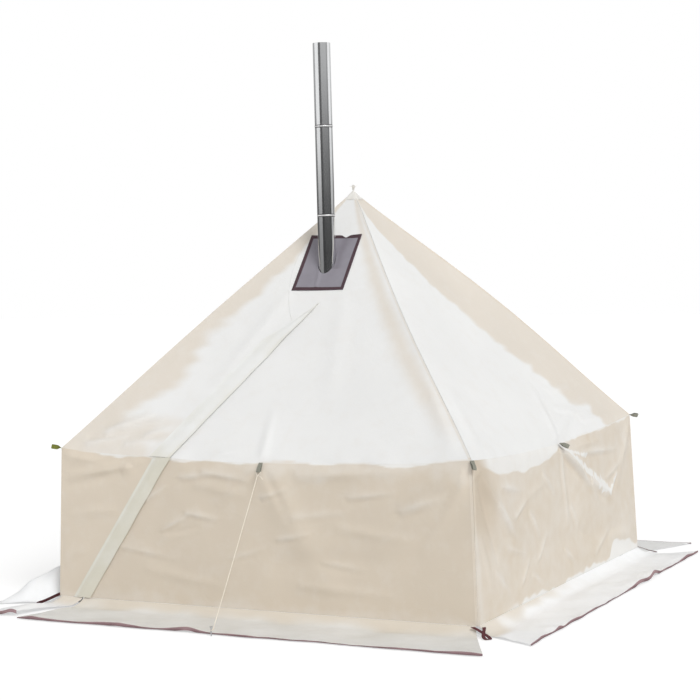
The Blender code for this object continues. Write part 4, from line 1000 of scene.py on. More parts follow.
def flap_wall_place(across, up_share):
    def edge(height):
        return free_x(height) - FLAP_FOOT * (1 - across) + 0.004 * rough_line(height, 6.0, 9.0) * across

    x, height = on_slant(edge, up_share, FLAP_STAND * EAVE_TURN * across)
    # On the wall the flap is painted in its shade tone, with a paler stripe near its sewn edge.
    shade_share = 0.95 - 0.35 * bulge(across, 0.1, 0.08) + 0.15 * rough_field(x, height, 6.0, 53.0)
    return wall_at(FRONT, x, height, flap_off(across, height + 3, 7.0)), unit(shade_share)


flap_roof = cloth_net("storm_flap_roof_cloth", 16, 110, flap_roof_place, (FLAP_WIDE, 1.17), FLAP_CLOTH)
dress(flap_roof, bend_roof, FLAP_CANVAS, "storm_flap_roof")
flap_wall = cloth_net("storm_flap_wall_cloth", 16, 100, flap_wall_place, (FLAP_FOOT, 1.05), FLAP_CLOTH)
dress(flap_wall, bend_wall, FLAP_CANVAS, "storm_flap_wall")
print("storm flap", len(flap_roof.data.polygons), "+", len(flap_wall.data.polygons), "faces")

# %% [markdown]
# ## Zips
# Under the flap are two tapes with a row of teeth each. One tooth is modelled, and an Array modifier
# repeats it along the tape. The tape's straight line is known from its two ends.

# %% Zip tapes and teeth
ZIP_TAPE, ZIP_GAP = 0.012, 0.0004
TAPE_OFF, TOOTH_OFF = 0.0026, 0.0032
TOOTH_PITCH = 0.006
TOOTH_SIZE = (TOOTH_PITCH * 0.45, 0.0026, 0.0016)
TOOTH_PLACE = Matrix.Translation((TOOTH_PITCH / 2, 0.0017, 0.0012))


def on_wall(shift, up_share):
    x, height = on_slant(lambda h: zip_x(h) + shift, up_share, -0.0009)
    return wall_at(FRONT, x, height, TAPE_OFF)


def on_roof(shift, up_share):
    up = 0.0005 + (ZIP_TOP_UP - 0.0005) * up_share
    return roof_at(FRONT, roof_zip_x(up) + shift, up, TAPE_OFF, folds=False)


def zip_tape(name, surface, edges, long):
    def place(across, up_share):
        return surface(edges[0] + (edges[1] - edges[0]) * across, up_share), 0.5

    return cloth_net(name, 2, 40, place, (ZIP_TAPE - ZIP_GAP, long), 0.001)


def zip_teeth(name, low, high, out, sideways, count):
    """A row of teeth from low to high; sideways says which side of the line they are on."""
    along = (high - low).normalized()
    across = out.cross(along).normalized() * sideways
    tooth = box(name, TOOTH_SIZE, TOOTH_PLACE)
    edit_all(bpy.ops.mesh.bevel, offset=0.0003, segments=1, affect="EDGES")
    repeat = tooth.modifiers.new("Row", "ARRAY")
    repeat.use_relative_offset = False
    repeat.use_constant_offset = True
    repeat.constant_offset_displace = (TOOTH_PITCH, 0, 0)
    repeat.count = count
    apply_all(tooth)
    tooth.data.transform(Matrix.Translation(low) @ Matrix((along, across, out)).transposed().to_4x4())
    edit_all(bpy.ops.mesh.normals_make_consistent, inside=False)
    tooth.data.materials.append(TOOTH_NYLON)
    return tooth


roof_ends = [one(roof_at, roof_zip_x(up), up, TOOTH_OFF, folds=False) for up in (0.01, ZIP_TOP_UP)]
wall_ends = [one(wall_at, zip_x(height), height, TOOTH_OFF) for height in (0.02, 0.85)]
for part, surface, long, ends, out, bend, stands_for in (
    ("", on_wall, 1.06, wall_ends, WALL_OUT, bend_wall, ("zip_wall", "zip_door")),
    ("roof_", on_roof, 1.2, roof_ends, ROOF_OUT, bend_roof, ("zip_roof", "zip_roof")),
):
    low, high = ends
    count = int((high - low).length / TOOTH_PITCH)
    rows = (("fixed", (ZIP_GAP, ZIP_TAPE), -1, "tent"), ("door", (-ZIP_TAPE, -ZIP_GAP), 1, bend))
    for node, (name, edges, sideways, holder) in zip(stands_for, rows):
        dress(zip_tape(f"zip_tape_{part}{name}", surface, edges, long), holder, ZIP_FABRIC, node)
        hold(zip_teeth(f"zip_teeth_{part}{name}", low, high, Vector(out), sideways, count), holder)
    print(part + "zip", count, "teeth a side")

# %% [markdown]
# ## Ground cloth
# Round the foot of the walls a coated cloth falls to the ground and lies out on it. It is never flat:
# it ripples, and its bound edge lifts here and there and shows the dark tape.

# %% Ground cloth
SEAM_Z = WALL_LIFT - 0.0017
SOD_FALL = 0.12
SOD_CLOTH, TAPE_CLOTH = 0.0014, 0.0008
SOD_FLOOR = 0.0013
SOD_REACHES = (0.50, 0.38, 0.50, 0.38)
SOD_GAP = 0.015
MITRE_SHARE = 0.5
SLIT, SLIT_LEAN = 0.01, 0.3
# Each row: where along the side the edge lifts, half its width and its height.
EDGE_LIFTS = (
    ((-1.25, 0.07, 0.010), (-0.66, 0.16, 0.014), (-0.18, 0.10, 0.022), (0.35, 0.2, 0.004), (1.55, 0.10, 0.012)),
    ((-1.13, 0.05, 0.016), (-0.85, 0.10, 0.010), (0.30, 0.14, 0.020), (0.60, 0.12, 0.034), (1.3, 0.15, 0.014)),
    ((-0.9, 0.2, 0.012), (0.6, 0.25, 0.014)),
    ((-0.6, 0.2, 0.012), (0.3, 0.2, 0.014)),
)
# Across the folded tape: how far in from the cloth's edge, and how far under its surface.
TAPE_STEPS = np.linspace(0, 1, 4)
TAPE_INSET = np.array((0.004, 0.0, -0.0010, 0.004))
TAPE_DROP = np.array((-0.0011, -0.0012, 0.0012, 0.0016))


def sod_end(out):
    return BASE_HALF - SOD_GAP + MITRE_SHARE * out


def sod_left_edge(out):
    return -sod_end(out)


def slit_right(out):
    return zip_x(0) + SLIT / 2 - SLIT_LEAN * out


def slit_left(out):
    return slit_right(out) - SLIT


def sod_surface(side, x, out, reach, lift=0.0, calm=1.0):
    fall = unit(1 - out / SOD_FALL)
    z = (SOD_FLOOR + lift) * (1 - fall ** 2) + SEAM_Z * fall ** 2
    free = soft_step(out - SOD_FALL / 2, SOD_FALL)
    ripple = 0.5 + 0.5 * rough_field(x, out, 3.2, 61.0 + side)
    fine = 0.5 + 0.5 * rough_field(x, out, 12.0, 67.0 + side)
    z = z + calm * free * (0.014 * np.clip(ripple, 0, 1.2) + 0.003 * np.clip(fine, 0, 1.2))
    lifted = sum(height * bulge(x, middle, width) for middle, width, height in EDGE_LIFTS[side])
    z = z + calm * lifted * soft_step(out - reach + 0.16, 0.16)
    return rows_of(x, -BASE_HALF - 0.0015 - out, z)


def sod_reach(side, x):
    along = x + 5 * side
    return SOD_REACHES[side] - 0.008 + 0.010 * rough_line(along, 2.3, 71.0) + 0.004 * rough_line(along, 7.0, 73.0)


def sod_stain(side, x, out, ragged):
    """The wall's colour runs over the seam, so the join is hardly seen."""
    if side == RIGHT:
        reach = 0.03 + 0.09 * soft_step(-0.95 - x, 0.45)
        return 0.75 * band(reach + 0.05 * ragged - out, 0.09) * soft_step(0.3 - x, 0.9)
    if side == FRONT:
        return 0.85 * band(0.07 + 0.04 * ragged - out, 0.12)
    return 0.6 * band(0.03 + 0.03 * ragged - out, 0.06)

# %% [markdown]
# One function makes each cloth together with the tape folded over its edge, because the tape has to
# follow every ripple of the cloth.

# %% Ground cloths and their bindings
def ground_cloth(name, side, left, right, counts, holder, shade_share, lift=0.0, calm=1.0, shape=None):
    """The cloth, and the tape folded over its outer edge, which hangs where the edge lifts."""
    columns, rows, tape_columns = counts

    def spot(across, out):
        x = left(out) + (right(out) - left(out)) * across
        return x, sod_reach(side, x)

    def shaped(x, out, reach, line):
        points = sod_surface(side, x, out, reach, lift, calm)
        return shape(points, x, line) if shape else points

    def cloth_place(across, row):
        guess = np.full(len(row), SOD_REACHES[side])
        for _ in range(3):
            out = -0.001 + (guess + 0.001) * (row * 0.35 + 0.65 * row ** 1.5)
            x, guess = spot(across, out)
        ragged = rough_field(x, out, 4.0, 79.0)
        shades = shade_share + 0.15 * ragged, sod_stain(side, x, out, ragged)
        return shaped(x, out, guess, out), *(unit(shade) for shade in shades)

    def tape_place(across, row):
        reach = np.full(len(row), SOD_REACHES[side])
        for _ in range(3):
            x, reach = spot(across, reach)
        points = shaped(x, reach - np.interp(row, TAPE_STEPS, TAPE_INSET), reach, reach)
        points[:, 2] -= np.interp(row, TAPE_STEPS, TAPE_DROP)
        points[:, 2] -= np.clip(points[:, 2] - 0.006, 0, 0.016) * (row > 0.6)
        points[:, 2] = np.maximum(points[:, 2], 0.0006)
        # The tape is painted dark, as shade, where it lies low under the cloth's edge, and pale where it lifts into
        # the light.
        lifted = soft_step(points[:, 2] - 0.006, 0.012)
        return points, unit(0.95 - 0.9 * lifted + 0.2 * rough_line(x, 9.0, 83.0))

    size = (3.0, SOD_REACHES[side])
    cloth = cloth_net(f"sod_{name}_cloth", columns, rows, cloth_place, size, SOD_CLOTH, side, 60)
    dress(cloth, holder, SOD_FABRIC, "sod_" + name)
    tape = cloth_net(f"sod_{name}_binding", tape_columns, 3, tape_place, (3.0, 0.03), TAPE_CLOTH, side, 60)
    dress(tape, holder, SOD_BINDING, slot="binding_tape")
    print("ground cloth", name, len(cloth.data.polygons), "faces")


SOD_COUNTS = (200, 36, 240)
# The number after the holder is the painted shade: the front cloth is painted grey, the right one nearly white.
ground_cloth("front", FRONT, slit_right, sod_end, (220, 40, 260), "tent", 0.8)
ground_cloth("right", RIGHT, sod_left_edge, sod_end, SOD_COUNTS, "sod_right", 0.05)
ground_cloth("back", BACK, sod_left_edge, sod_end, SOD_COUNTS, "sod_back", 0.4)

# %% [markdown]
# The left ground cloth's front end has been turned up against the wall, so it stands there like a
# wing and comes down to the ground within half a metre.

# %% Left ground cloth with its raised end, and the door's strip
WING_HEIGHT, WING_RUN, WING_RISE = 0.26, 0.66, 0.20


def raise_wing(points, x, out):
    """x grows towards the front on this side. The end itself lies down; behind it the cloth stands."""
    behind = sod_end(out) - x
    near = soft_step(behind, WING_RISE) * soft_step(WING_RUN - behind, WING_RUN - WING_RISE)
    slope = unit(1 - out / 0.37) ** 0.8 * soft_step(out + 0.012, 0.045)
    points[:, 2] += WING_HEIGHT * near * slope * (1 + 0.12 * rough_field(x, out, 9.0, 87.0))
    return points


def bend_left(obj):
    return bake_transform(obj)


def draw_back(points, x, out):
    """The door's strip has been kicked back: its slit stands open and its outer end is raised a little."""
    free = soft_step(out, 0.35)
    points[:, 0] -= 0.045 * free * soft_step(x + 1.62, 0.4)
    points[:, 1] += 0.05 * free
    points[:, 2] += free * (0.014 + 0.022 * bulge(x, -1.42, 0.07))
    return points


# The left cloth gets no painted shade, so its raised end stays pale.
ground_cloth("left", LEFT, sod_left_edge, sod_end, SOD_COUNTS, bend_left, 0.0, shape=raise_wing)
ground_cloth("door", FRONT, sod_left_edge, slit_left, (60, 36, 60), bend_wall, 0.05, 0.006, 0.25, draw_back)

# %% [markdown]
# ## Webbing
# Every loop is one length of woven tape. It is a narrow net laid along a path: the path gives the
# middle of the tape, and one direction for all of it says which way the tape's width lies.

# %% Tape along a path
LOOP_LENGTH, LOOP_HEIGHT, LOOP_WIDTH, LOOP_EYE = 0.062, 0.0088, 0.025, 0.0016
WEBBING = 0.0014


def along_path(path, share):
    """Points at shares of a polyline's length."""
    path = np.array(path, float)
    steps = np.concatenate(([0], np.cumsum(np.linalg.norm(np.diff(path, axis=0), axis=1))))
    return rows_of(*(np.interp(share * steps[-1], steps, column) for column in path.T)), steps[-1]


def rounded(path):
    """Cuts the corners of a polyline twice, so that the tape bends and doesn't break."""
    path = [np.array(p, float) for p in path]
    for _ in range(2):
        made = [path[0]]
        for a, b in zip(path, path[1:]):
            made += [a * 0.75 + b * 0.25, a * 0.25 + b * 0.75]
        path = made + [path[-1]]
    return path


def twisted(points, root, axis, length, angle):
    """Turns points about an axis, more and more over this length of it."""
    root, axis = np.array(root), np.array(axis)
    beyond = (points - root) @ axis
    turn = (angle * soft_step(beyond, length))[:, None]
    middle = root + beyond[:, None] * axis
    flat = points - middle
    return middle + flat * np.cos(turn) + np.cross(axis, flat) * np.sin(turn)


def webbing(name, path, widths, width, thickness=WEBBING, rows=48, twist=None):
    """widths: the direction of the tape's width at the start and at the end of the path.
    twist: a place, an axis, a length and an angle, for a loop that has turned over on its way out."""
    first, last = (np.array(w, float) / np.linalg.norm(w) for w in widths)

    def place(across, share):
        way = first + (last - first) * share[:, None]
        way /= np.linalg.norm(way, axis=1)[:, None]
        points = along_path(path, share)[0] + way * ((across - 0.5) * width)[:, None]
        return twisted(points, *twist) if twist else points, 0.4

    return cloth_net(name, 4, rows, place, (width, along_path(path, np.zeros(1))[1]), thickness, smooth=60)

# %% [markdown]
# A loop at the eave stands out from the seam. Some droop more than others and some have turned over,
# so each has its own droop and turn. The green one is at the door's corner.

# %% Loops at the eave
def loop_path(root, out, across, length, height):
    """The closed outline of a sewn loop, seen from its edge."""
    out, across = Vector(out).normalized(), Vector(across).normalized()
    rise = out.cross(across)
    path = []
    for turn in np.linspace(0.06, 2 * math.pi - 0.06, 40):
        swell = LOOP_EYE + (height - LOOP_EYE) * math.sin(turn / 2) ** 2
        path.append(Vector(root) + out * (length / 2 * (1 - math.cos(turn))) + rise * (swell * math.sin(turn)))
    return path


def turned(side, vector):
    return Matrix.Rotation(side * math.pi / 2, 3, "Z") @ Vector(vector)


def eave_loop(name, side, root, droop, turn, look=GREY_WEBBING, across=(1, 0, 0), flat=(0, -1, 0)):
    out = Vector(flat).normalized() * math.cos(droop) - Vector((0, 0, math.sin(droop)))
    root, out, way = (turned(side, vector) for vector in (root, out, across))
    path = loop_path(root, out, way, LOOP_LENGTH, LOOP_HEIGHT)
    twist = (root, out, LOOP_LENGTH * 0.6, math.radians(turn))
    tape = webbing(f"eave_loop_{name}_tape", path, (way, way), LOOP_WIDTH, twist=twist)
    dress(tape, "tent", look, "eave_loop_" + name)
    return root, out


GUY_DROP = math.atan2(EAVE_Z - EAVE_SAG - 0.034, 0.52 + WALL_FLARE)
SIDE_LOOPS = ((0.04, GUY_DROP, 0), (0, math.radians(20), 55), (0, math.radians(30), 0), (0, math.radians(30), 0))
side_loops = []
for side, (x, droop, turn) in enumerate(SIDE_LOOPS):
    root = Vector(eave_edge(np.array([x]))[0]) + Vector((0, -0.0034, 0))
    side_loops.append(eave_loop(SIDES[side], side, root, droop, turn))
OUTWARD = Vector((-1, -1, 0)).normalized()
CORNER_DROOPS = (-12, 50, 10, 30)
CORNER_TURNS = (75, -20, -65, 20)
for side, corner in enumerate(CORNERS):
    rise, out_by, look = (0, 0.0018, GREY_WEBBING) if side else (0.0012, 0.0006, GREEN_WEBBING)
    root = Vector((-HALF, -HALF, EAVE_Z + rise)) + OUTWARD * out_by
    droop = math.radians(CORNER_DROOPS[side])
    eave_loop(corner, side, root, droop, CORNER_TURNS[side], look, (1, -1, 0), OUTWARD)
print("eave loops", len(SIDE_LOOPS) + len(CORNERS))

# %% [markdown]
# The stake straps at the foot are longer. The one nearest the camera is a loop whose two ends are
# sewn apart, so it crosses over itself; the one by the door is doubled. Both have a stray orange thread.

# %% Stake loops
STRAP_WIDTH, DOUBLED_TAPE, CROSSED_TAPE = 0.022, 0.0018, 0.0022
# Each row, in mm: how far out from the corner along the diagonal, how far to its side, how high.
CROSSED = (
    (4, -36, 50), (30, -24, 44), (60, -4, 29), (95, 14, 14), (128, 18, 6), (148, 4, 4), (136, -14, 5), (104, -16, 14),
    (66, 4, 34), (34, 22, 40), (4, 32, 43),
)
DOUBLED = (
    (0, -4, 54), (45, -4, 38), (90, -4, 20), (142, 0, 7.5), (147, 0, 5), (142, 0, 3.5), (90, 4, 16.5), (45, 4, 34),
    (0, 4, 50),
)


def corner_spot(side, out, across, z):
    spot = Matrix.Rotation(math.radians(-45), 3, "Z") @ Vector((across, -out, 0))
    spot = Vector((-BASE_HALF, -BASE_HALF, 0)) + spot
    spot.z = z
    return turned(side, spot)


def flat_way(side, angle):
    return turned(side, Matrix.Rotation(math.radians(angle - 45), 3, "Z") @ Vector((1, 0, 0)))


def stake_loop(side, path, splay, thickness, rows, tilt=0):
    """splay: how far the two legs turn apart; tilt stands the tape on its edge."""
    spots = [corner_spot(side, out / 1000, across / 1000, z / 1000 + 0.008 * tilt) for out, across, z in path]
    ways = [flat_way(side, angle) + Vector((0, 0, tilt)) for angle in (-splay, splay)]
    node = "stake_loop_" + CORNERS[side]
    tape = webbing(node + "_tape", rounded(spots), ways, STRAP_WIDTH, thickness, rows)
    return dress(tape, "tent", BROWN_WEBBING, node)


stake_loop(FRONT, DOUBLED, 0, DOUBLED_TAPE, 70, 1)
stake_loop(RIGHT, CROSSED, 12, CROSSED_TAPE, 80)
for side in (BACK, LEFT):
    stake_loop(side, DOUBLED, 0, DOUBLED_TAPE, 70)
print("stake loops", len(CORNERS))

# %% [markdown]
# A thread or a rope is a curve through a few points with a round bevel, made into a mesh at the end.
# Two orange threads have come loose by the straps.

# %% Stray threads
def tube_along(name, path, radius, sides, look):
    """A round thread: a curve through the points, made into a mesh."""
    curve = bpy.data.curves.new(name, "CURVE")
    curve.dimensions = "3D"
    curve.bevel_depth = radius
    curve.bevel_resolution = sides
    curve.use_fill_caps = True
    spline = curve.splines.new("POLY")
    spline.points.add(len(path) - 1)
    for point, place in zip(spline.points, path):
        point.co = (*place, 1)
    obj = linked(name, curve)
    select_only(obj)
    bpy.ops.object.convert(target="MESH")
    edit_all(bpy.ops.mesh.remove_doubles, threshold=radius / 50)
    edit_all(bpy.ops.mesh.normals_make_consistent, inside=False)
    obj.data.materials.clear()
    obj.data.materials.append(look)
    bpy.ops.object.shade_smooth_by_angle(angle=math.radians(60))
    return obj


def stray_thread(name, side, start, count):
    path = []
    for index in range(count):
        out = start + 0.006 * index
        z = 0.0065 + (WALL_LIFT - 0.006) * max(0, 1 - out / 0.085) ** 2
        path.append(corner_spot(side, out, 0.012 + math.sin(index * 1.1) * 0.006, z))
    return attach(tube_along("orange_thread_" + name, rounded(path), 0.0011, 1, ORANGE_THREAD), "tent")


stray_thread("left", FRONT, 0.10, 9)
stray_thread("right", RIGHT, 0.05, 6)
print("stray threads done")

# %% [markdown]
# ## Peak
# A square cap of canvas is sewn over the place where the four hips meet, and a loop of tape stands on
# it to hang the tent by. A few frayed threads stand up from it.

# %% Peak cap and loop
PEAK_HALF = 0.05
cap_top = EAVE_Z + ROOF_RISE + (0.0015 + 0.0025 + 0.0016) / math.cos(PITCH)


def peak_place(across, up_share):
    x, y = (across - 0.5) * 2 * PEAK_HALF, (up_share - 0.5) * 2 * PEAK_HALF
    away = (np.abs(x) ** 6 + np.abs(y) ** 6) ** (1 / 6)
    rim = soft_step(away / PEAK_HALF - 0.35, 0.65)
    z = cap_top - 0.0008 - 0.0045 * rim - away * ROOF_RISE / HALF - 0.0006 * rough_field(x * 20, y * 20, 2.0, 5.0)
    return rows_of(x, y, z), 0.25 + 0.2 * rough_field(x, y, 30.0, 91.0)


cap = cloth_net("peak_cap", 24, 24, peak_place, (2 * PEAK_HALF, 2 * PEAK_HALF), WEBBING, smooth=60)
dress(cap, "tent", PEAK_CLOTH, "peak_loop", slot="grey_webbing")
ring_path = loop_path((0, 0, cap_top - 0.001), (0, 0, 1), (1, 0, 0), 0.034, LOOP_HEIGHT)
ring = webbing("peak_ring", ring_path, ((1, 0, 0), (1, 0, 0)), LOOP_WIDTH / 2, WEBBING, 40)
dress(ring, "tent", PEAK_CLOTH, slot="grey_webbing")
for index in range(5):
    angle = index * 1.3
    lean = Vector((math.cos(angle), math.sin(angle), 0))
    foot = Vector((0, 0, cap_top + 0.012)) + lean * 0.006
    thread = [foot + lean * 0.004 * k + Vector((0, 0, 0.006 * k - 0.0006 * k * k)) for k in range(6)]
    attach(tube_along(f"peak_thread_{index + 1}", thread, 0.0006, 1, CREAM_CORD), "tent")
print("peak done")

# %% [markdown]
# ## Guy line
# The photograph shows the rope from its loop down to the ground, so its length is what is seen. It
# is three strands laid round each other, so each strand winds round the rope's middle line.

# %% Guy line
GUY_RADIUS, LAY = 0.0018, 0.016
KNOT, KNOT_PLACE, KNOT_TURNS = 0.0062, 0.022, 4.6 * math.pi
PEG_Y, PEG_TIE, PEG_RADIUS = -BASE_HALF - 0.52, 0.034, 0.004
SAG_SHARE = 0.004
loop_root, loop_out = side_loops[FRONT]
loop_far = loop_root + loop_out * LOOP_LENGTH
high_knot = loop_far + loop_out * KNOT_PLACE
low_knot = Vector((0, PEG_Y + KNOT_PLACE, PEG_TIE))
run = (low_knot - high_knot).length
route = []
for share in np.linspace(0, 1, 400):
    sag = Vector((0, 0, -4 * SAG_SHARE * run * share * (1 - share)))
    route.append(high_knot.lerp(low_knot, share) + sag)


def rope(name, path, radius=GUY_RADIUS, sides=2):
    return tube_along(name, path, radius, sides, CREAM_CORD)


def join(*objects):
    select_only(*objects)
    bpy.ops.object.join()
    return objects[0]


def strand(index):
    """One strand winds round the rope's middle line."""
    way = (low_knot - high_knot).normalized()
    side_way = way.cross(Vector((0, 0, 1))).normalized()
    other = way.cross(side_way)
    path = []
    for step, spot in enumerate(route):
        angle = step / len(route) * run / LAY * 2 * math.pi + index * 2 * math.pi / 3
        path.append(spot + (side_way * math.cos(angle) + other * math.sin(angle)) * GUY_RADIUS * 0.6)
    return rope(f"guy_strand_{index}", path, GUY_RADIUS * 0.7, 1)


guy_rope = join(*(strand(index) for index in range(3)))
guy_rope.name = "guy_rope"
print("three strands", len(guy_rope.data.polygons), "faces")

# %% [markdown]
# The rope is tied with one knot under its loop and one at the peg. Each knot is a few turns of the
# same rope. Its bights go through the tape above and round the peg below, and a short tail hangs.

# %% Knots and ends
def knot(name, centre):
    """Two turns of rope round the line and one over them."""
    path = []
    for angle in np.linspace(0, KNOT_TURNS, 60):
        wide = KNOT * (0.62 + 0.16 * math.sin(angle * 0.5))
        rise = (angle / KNOT_TURNS - 0.5) * KNOT * 1.3
        path.append(centre + Vector((math.cos(angle) * wide, math.sin(angle) * wide * 0.8, rise)))
    return rope(name, path)


tape_side = LOOP_WIDTH / 2 + GUY_RADIUS + 0.0006
tape_inside = GUY_RADIUS + 0.001
half = ((KNOT_PLACE, 0.0022), (KNOT_PLACE * 0.55, tape_side * 0.6), (0.0033, tape_side), (-tape_inside, tape_side))
bight = [*half, (-tape_inside, 0), *((beyond, -across) for beyond, across in half[::-1])]
bight = [loop_far + loop_out * beyond + Vector((1, 0, 0)) * across for beyond, across in bight]
low_radius = PEG_RADIUS + GUY_RADIUS + 0.001
low_path = [low_knot + Vector((0.0022, 0, 0))]
for angle in np.radians(np.linspace(150, -150, 17)):
    low_path.append(Vector((0, PEG_Y, PEG_TIE)) + low_radius * Vector((math.sin(angle), -math.cos(angle), 0)))
low_path.append(low_knot + Vector((-0.0022, 0, 0)))
TAIL = ((0.003, -0.003, 0.001), (0.016, -0.010, 0.003), (0.030, -0.010, -0.006), (0.038, -0.006, -0.020))
with_rope = [
    rope("guy_bight_top", rounded(bight)), rope("guy_bight_peg", low_path),
    rope("guy_tail", rounded([high_knot + Vector(step) for step in TAIL]), GUY_RADIUS * 0.9),
    knot("guy_knot_top", high_knot), knot("guy_knot_peg", low_knot),
]
dress(guy_rope, "tent", CREAM_CORD, "guy_line")
for piece in with_rope:
    dress(piece, "tent", CREAM_CORD)
print("guy line", round(run, 3), "m")

# %% [markdown]
# ## Stove pipe
# Each section is a rolled steel tube with a lock seam up its back, a raised ring low down and a
# crimped end that goes into the section below. A ring of edges is pulled up and scaled, step by step.

# %% Pipe sections
PIPE_SIDES = 72
PIPE_WALL = 0.0008
BEAD, BEAD_HEIGHT, JOINT_SHADE_TOP = 0.0016, 0.008, 0.0125
PIPE_MALE = 0.044
FIRST_SEAT, PITCH_UP, TOP_LENGTH, SECTIONS = 0.686, 0.555, 0.52, 5


def ring_tube(name, profile):
    """A closed skin: the first ring of edges is extruded and scaled through the profile and back."""
    radius, z = profile[0]
    obj = added(name, bpy.ops.mesh.primitive_circle_add, vertices=PIPE_SIDES, radius=radius)
    obj.data.transform(Matrix.Translation((0, PIPE_Y, z)))
    bpy.ops.object.mode_set(mode="EDIT")
    bpy.ops.mesh.select_all(action="SELECT")
    for next_radius, next_z in profile[1:] + profile[:1]:
        bpy.ops.mesh.extrude_region_move(TRANSFORM_OT_translate={"value": (0, 0, next_z - z)})
        scale = next_radius / radius
        bpy.ops.transform.resize(value=(scale, scale, 1), center_override=(0, PIPE_Y, next_z))
        radius, z = next_radius, next_z
    bpy.ops.object.mode_set(mode="OBJECT")
    edit_all(bpy.ops.mesh.remove_doubles, threshold=0.00002)
    edit_all(bpy.ops.mesh.normals_make_consistent, inside=False)
    bpy.ops.object.shade_smooth_by_angle(angle=math.radians(38))
    return obj


def pipe_section(number, seat, length):
    outer, inner = PIPE_RADIUS, PIPE_RADIUS - PIPE_WALL
    male = inner - 0.0007
    top, bead_top = seat + length, seat + BEAD_HEIGHT
    profile = [(outer, top), (outer, top - 0.005), (outer, seat + JOINT_SHADE_TOP), (outer, bead_top)]
    for angle in np.radians((30, 60, 90, 120, 150)):
        profile.append((outer + BEAD * math.sin(angle), seat + BEAD_HEIGHT / 2 * (1 + math.cos(angle))))
    profile += [(outer, seat), (male, seat - 0.0002), (male, seat - PIPE_MALE), (male - PIPE_WALL, seat - PIPE_MALE)]
    profile += [(male - PIPE_WALL, seat), (inner, bead_top), (inner, top)]
    obj = ring_tube(f"pipe_section_{number}", profile)
    for vertex in obj.data.vertices:
        # the end that goes into the section below is crimped: every other edge is pushed in
        x, y, z = vertex.co
        if z < seat - 0.012 and round(math.atan2(y - PIPE_Y, x) / (2 * math.pi) * PIPE_SIDES) % 2:
            vertex.co = x * 0.985, PIPE_Y + (y - PIPE_Y) * 0.985, z
    for look in (PIPE_STEEL, BEAD_HIGHLIGHT, JOINT_SHADE):
        obj.data.materials.append(look)
    # The bead is painted brighter, as a highlight; the band just above it and the top of each lower section are
    # painted dark, as shade.
    for face in obj.data.polygons:
        x, y, z = face.center
        if seat - 0.0001 < z < bead_top and math.hypot(x, y - PIPE_Y) > outer + 0.0002:
            face.material_index = 1
        elif bead_top < z < seat + JOINT_SHADE_TOP or z > top - 0.0055 and number < SECTIONS:
            face.material_index = 2
    return obj

# %% [markdown]
# A section is rolled from a flat sheet. Its two long edges are hooked together and pressed, which
# leaves a flat rib up the back.

# %% Lock seam and assembly
def seam_and_rivets(number, seat, length):
    """The lock seam is a flat rib up the back, with a rivet at each end."""
    middle = Matrix.Translation((0, PIPE_RADIUS + 0.0004, seat + 0.02 + length / 2))
    parts = [box(f"pipe_seam_{number}", (0.009, 0.0016, length - 0.05), middle)]
    edit_all(bpy.ops.mesh.bevel, offset=0.0006, segments=2, affect="EDGES")
    for z in (seat + 0.03, seat + length - 0.018):
        rivet = added("rivet", bpy.ops.mesh.primitive_uv_sphere_add, segments=14, ring_count=8, radius=0.003)
        rivet.data.transform(Matrix.Diagonal((1, 0.5, 1, 1)))
        rivet.data.transform(Matrix.Translation((0, PIPE_RADIUS + 0.0012, z)))
        parts.append(rivet)
    rib = join(*parts)
    rib.data.transform(Matrix.Translation((0, PIPE_Y, 0)) @ Matrix.Rotation(math.radians(35), 4, "Z"))
    bpy.ops.object.shade_smooth_by_angle(angle=math.radians(38))
    return rib


# the first section keeps the frame's own shape, which has the holes for the damper's rod
nodes["pipe_1"].material_slots[0].material = PIPE_STEEL
for number in range(2, SECTIONS + 1):
    seat = FIRST_SEAT + PITCH_UP * (number - 1)
    length = TOP_LENGTH if number == SECTIONS else PITCH_UP - 0.0004
    body = f"pipe_{number}"
    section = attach(pipe_section(number, seat, length), body)
    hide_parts(body)
    dress(seam_and_rivets(number, seat, length), body, PIPE_STEEL)
print("pipe done")

# %% [markdown]
# ## Frame, stove and peg
# These are rigid, so the frame's own shapes stay. They only get their finishes: drawn steel tube for
# the poles, blackened plate for the stove, black enamel for the zip's slider.

# %% Finishes of the rigid pieces
for name, node in nodes.items():
    if name.startswith(("rafter_", "leg_", "elbow_", "peak_hub", "guy_peg")):
        node.material_slots[0].material = FRAME_STEEL
    elif name.startswith(("stove_body", "stove_door", "stove_air", "stove_latch", "pipe_damper")):
        node.material_slots[0].material = STOVE_STEEL
    elif name == "zip_slider":
        node.material_slots[0].material = BLACK_METAL
print("rigid pieces done")

# %% [markdown]
# ## Light and floor
# Soft studio light from all sides, one broad lamp from the front right and a weak, wider one from the
# front. The world is white to the camera and to polished metal, and dimmer as a light.

# %% Light
def ray_share(tree, *kinds):
    """1 for these kinds of ray, 0 for any other."""
    rays = add_node(tree, "LightPath").outputs
    total = rays[f"Is {kinds[0]} Ray"]
    for kind in kinds[1:]:
        total = math_node(tree, "ADD", total, rays[f"Is {kind} Ray"], True)
    return total


def show(tree, output, surface):
    tree.links.new(surface.outputs[0], tree.nodes[output].inputs["Surface"])


def show_mixed(tree, output, share, first, second):
    show(tree, output, add_node(tree, "MixShader", {0: share, 1: first.outputs[0], 2: second.outputs[0]}))


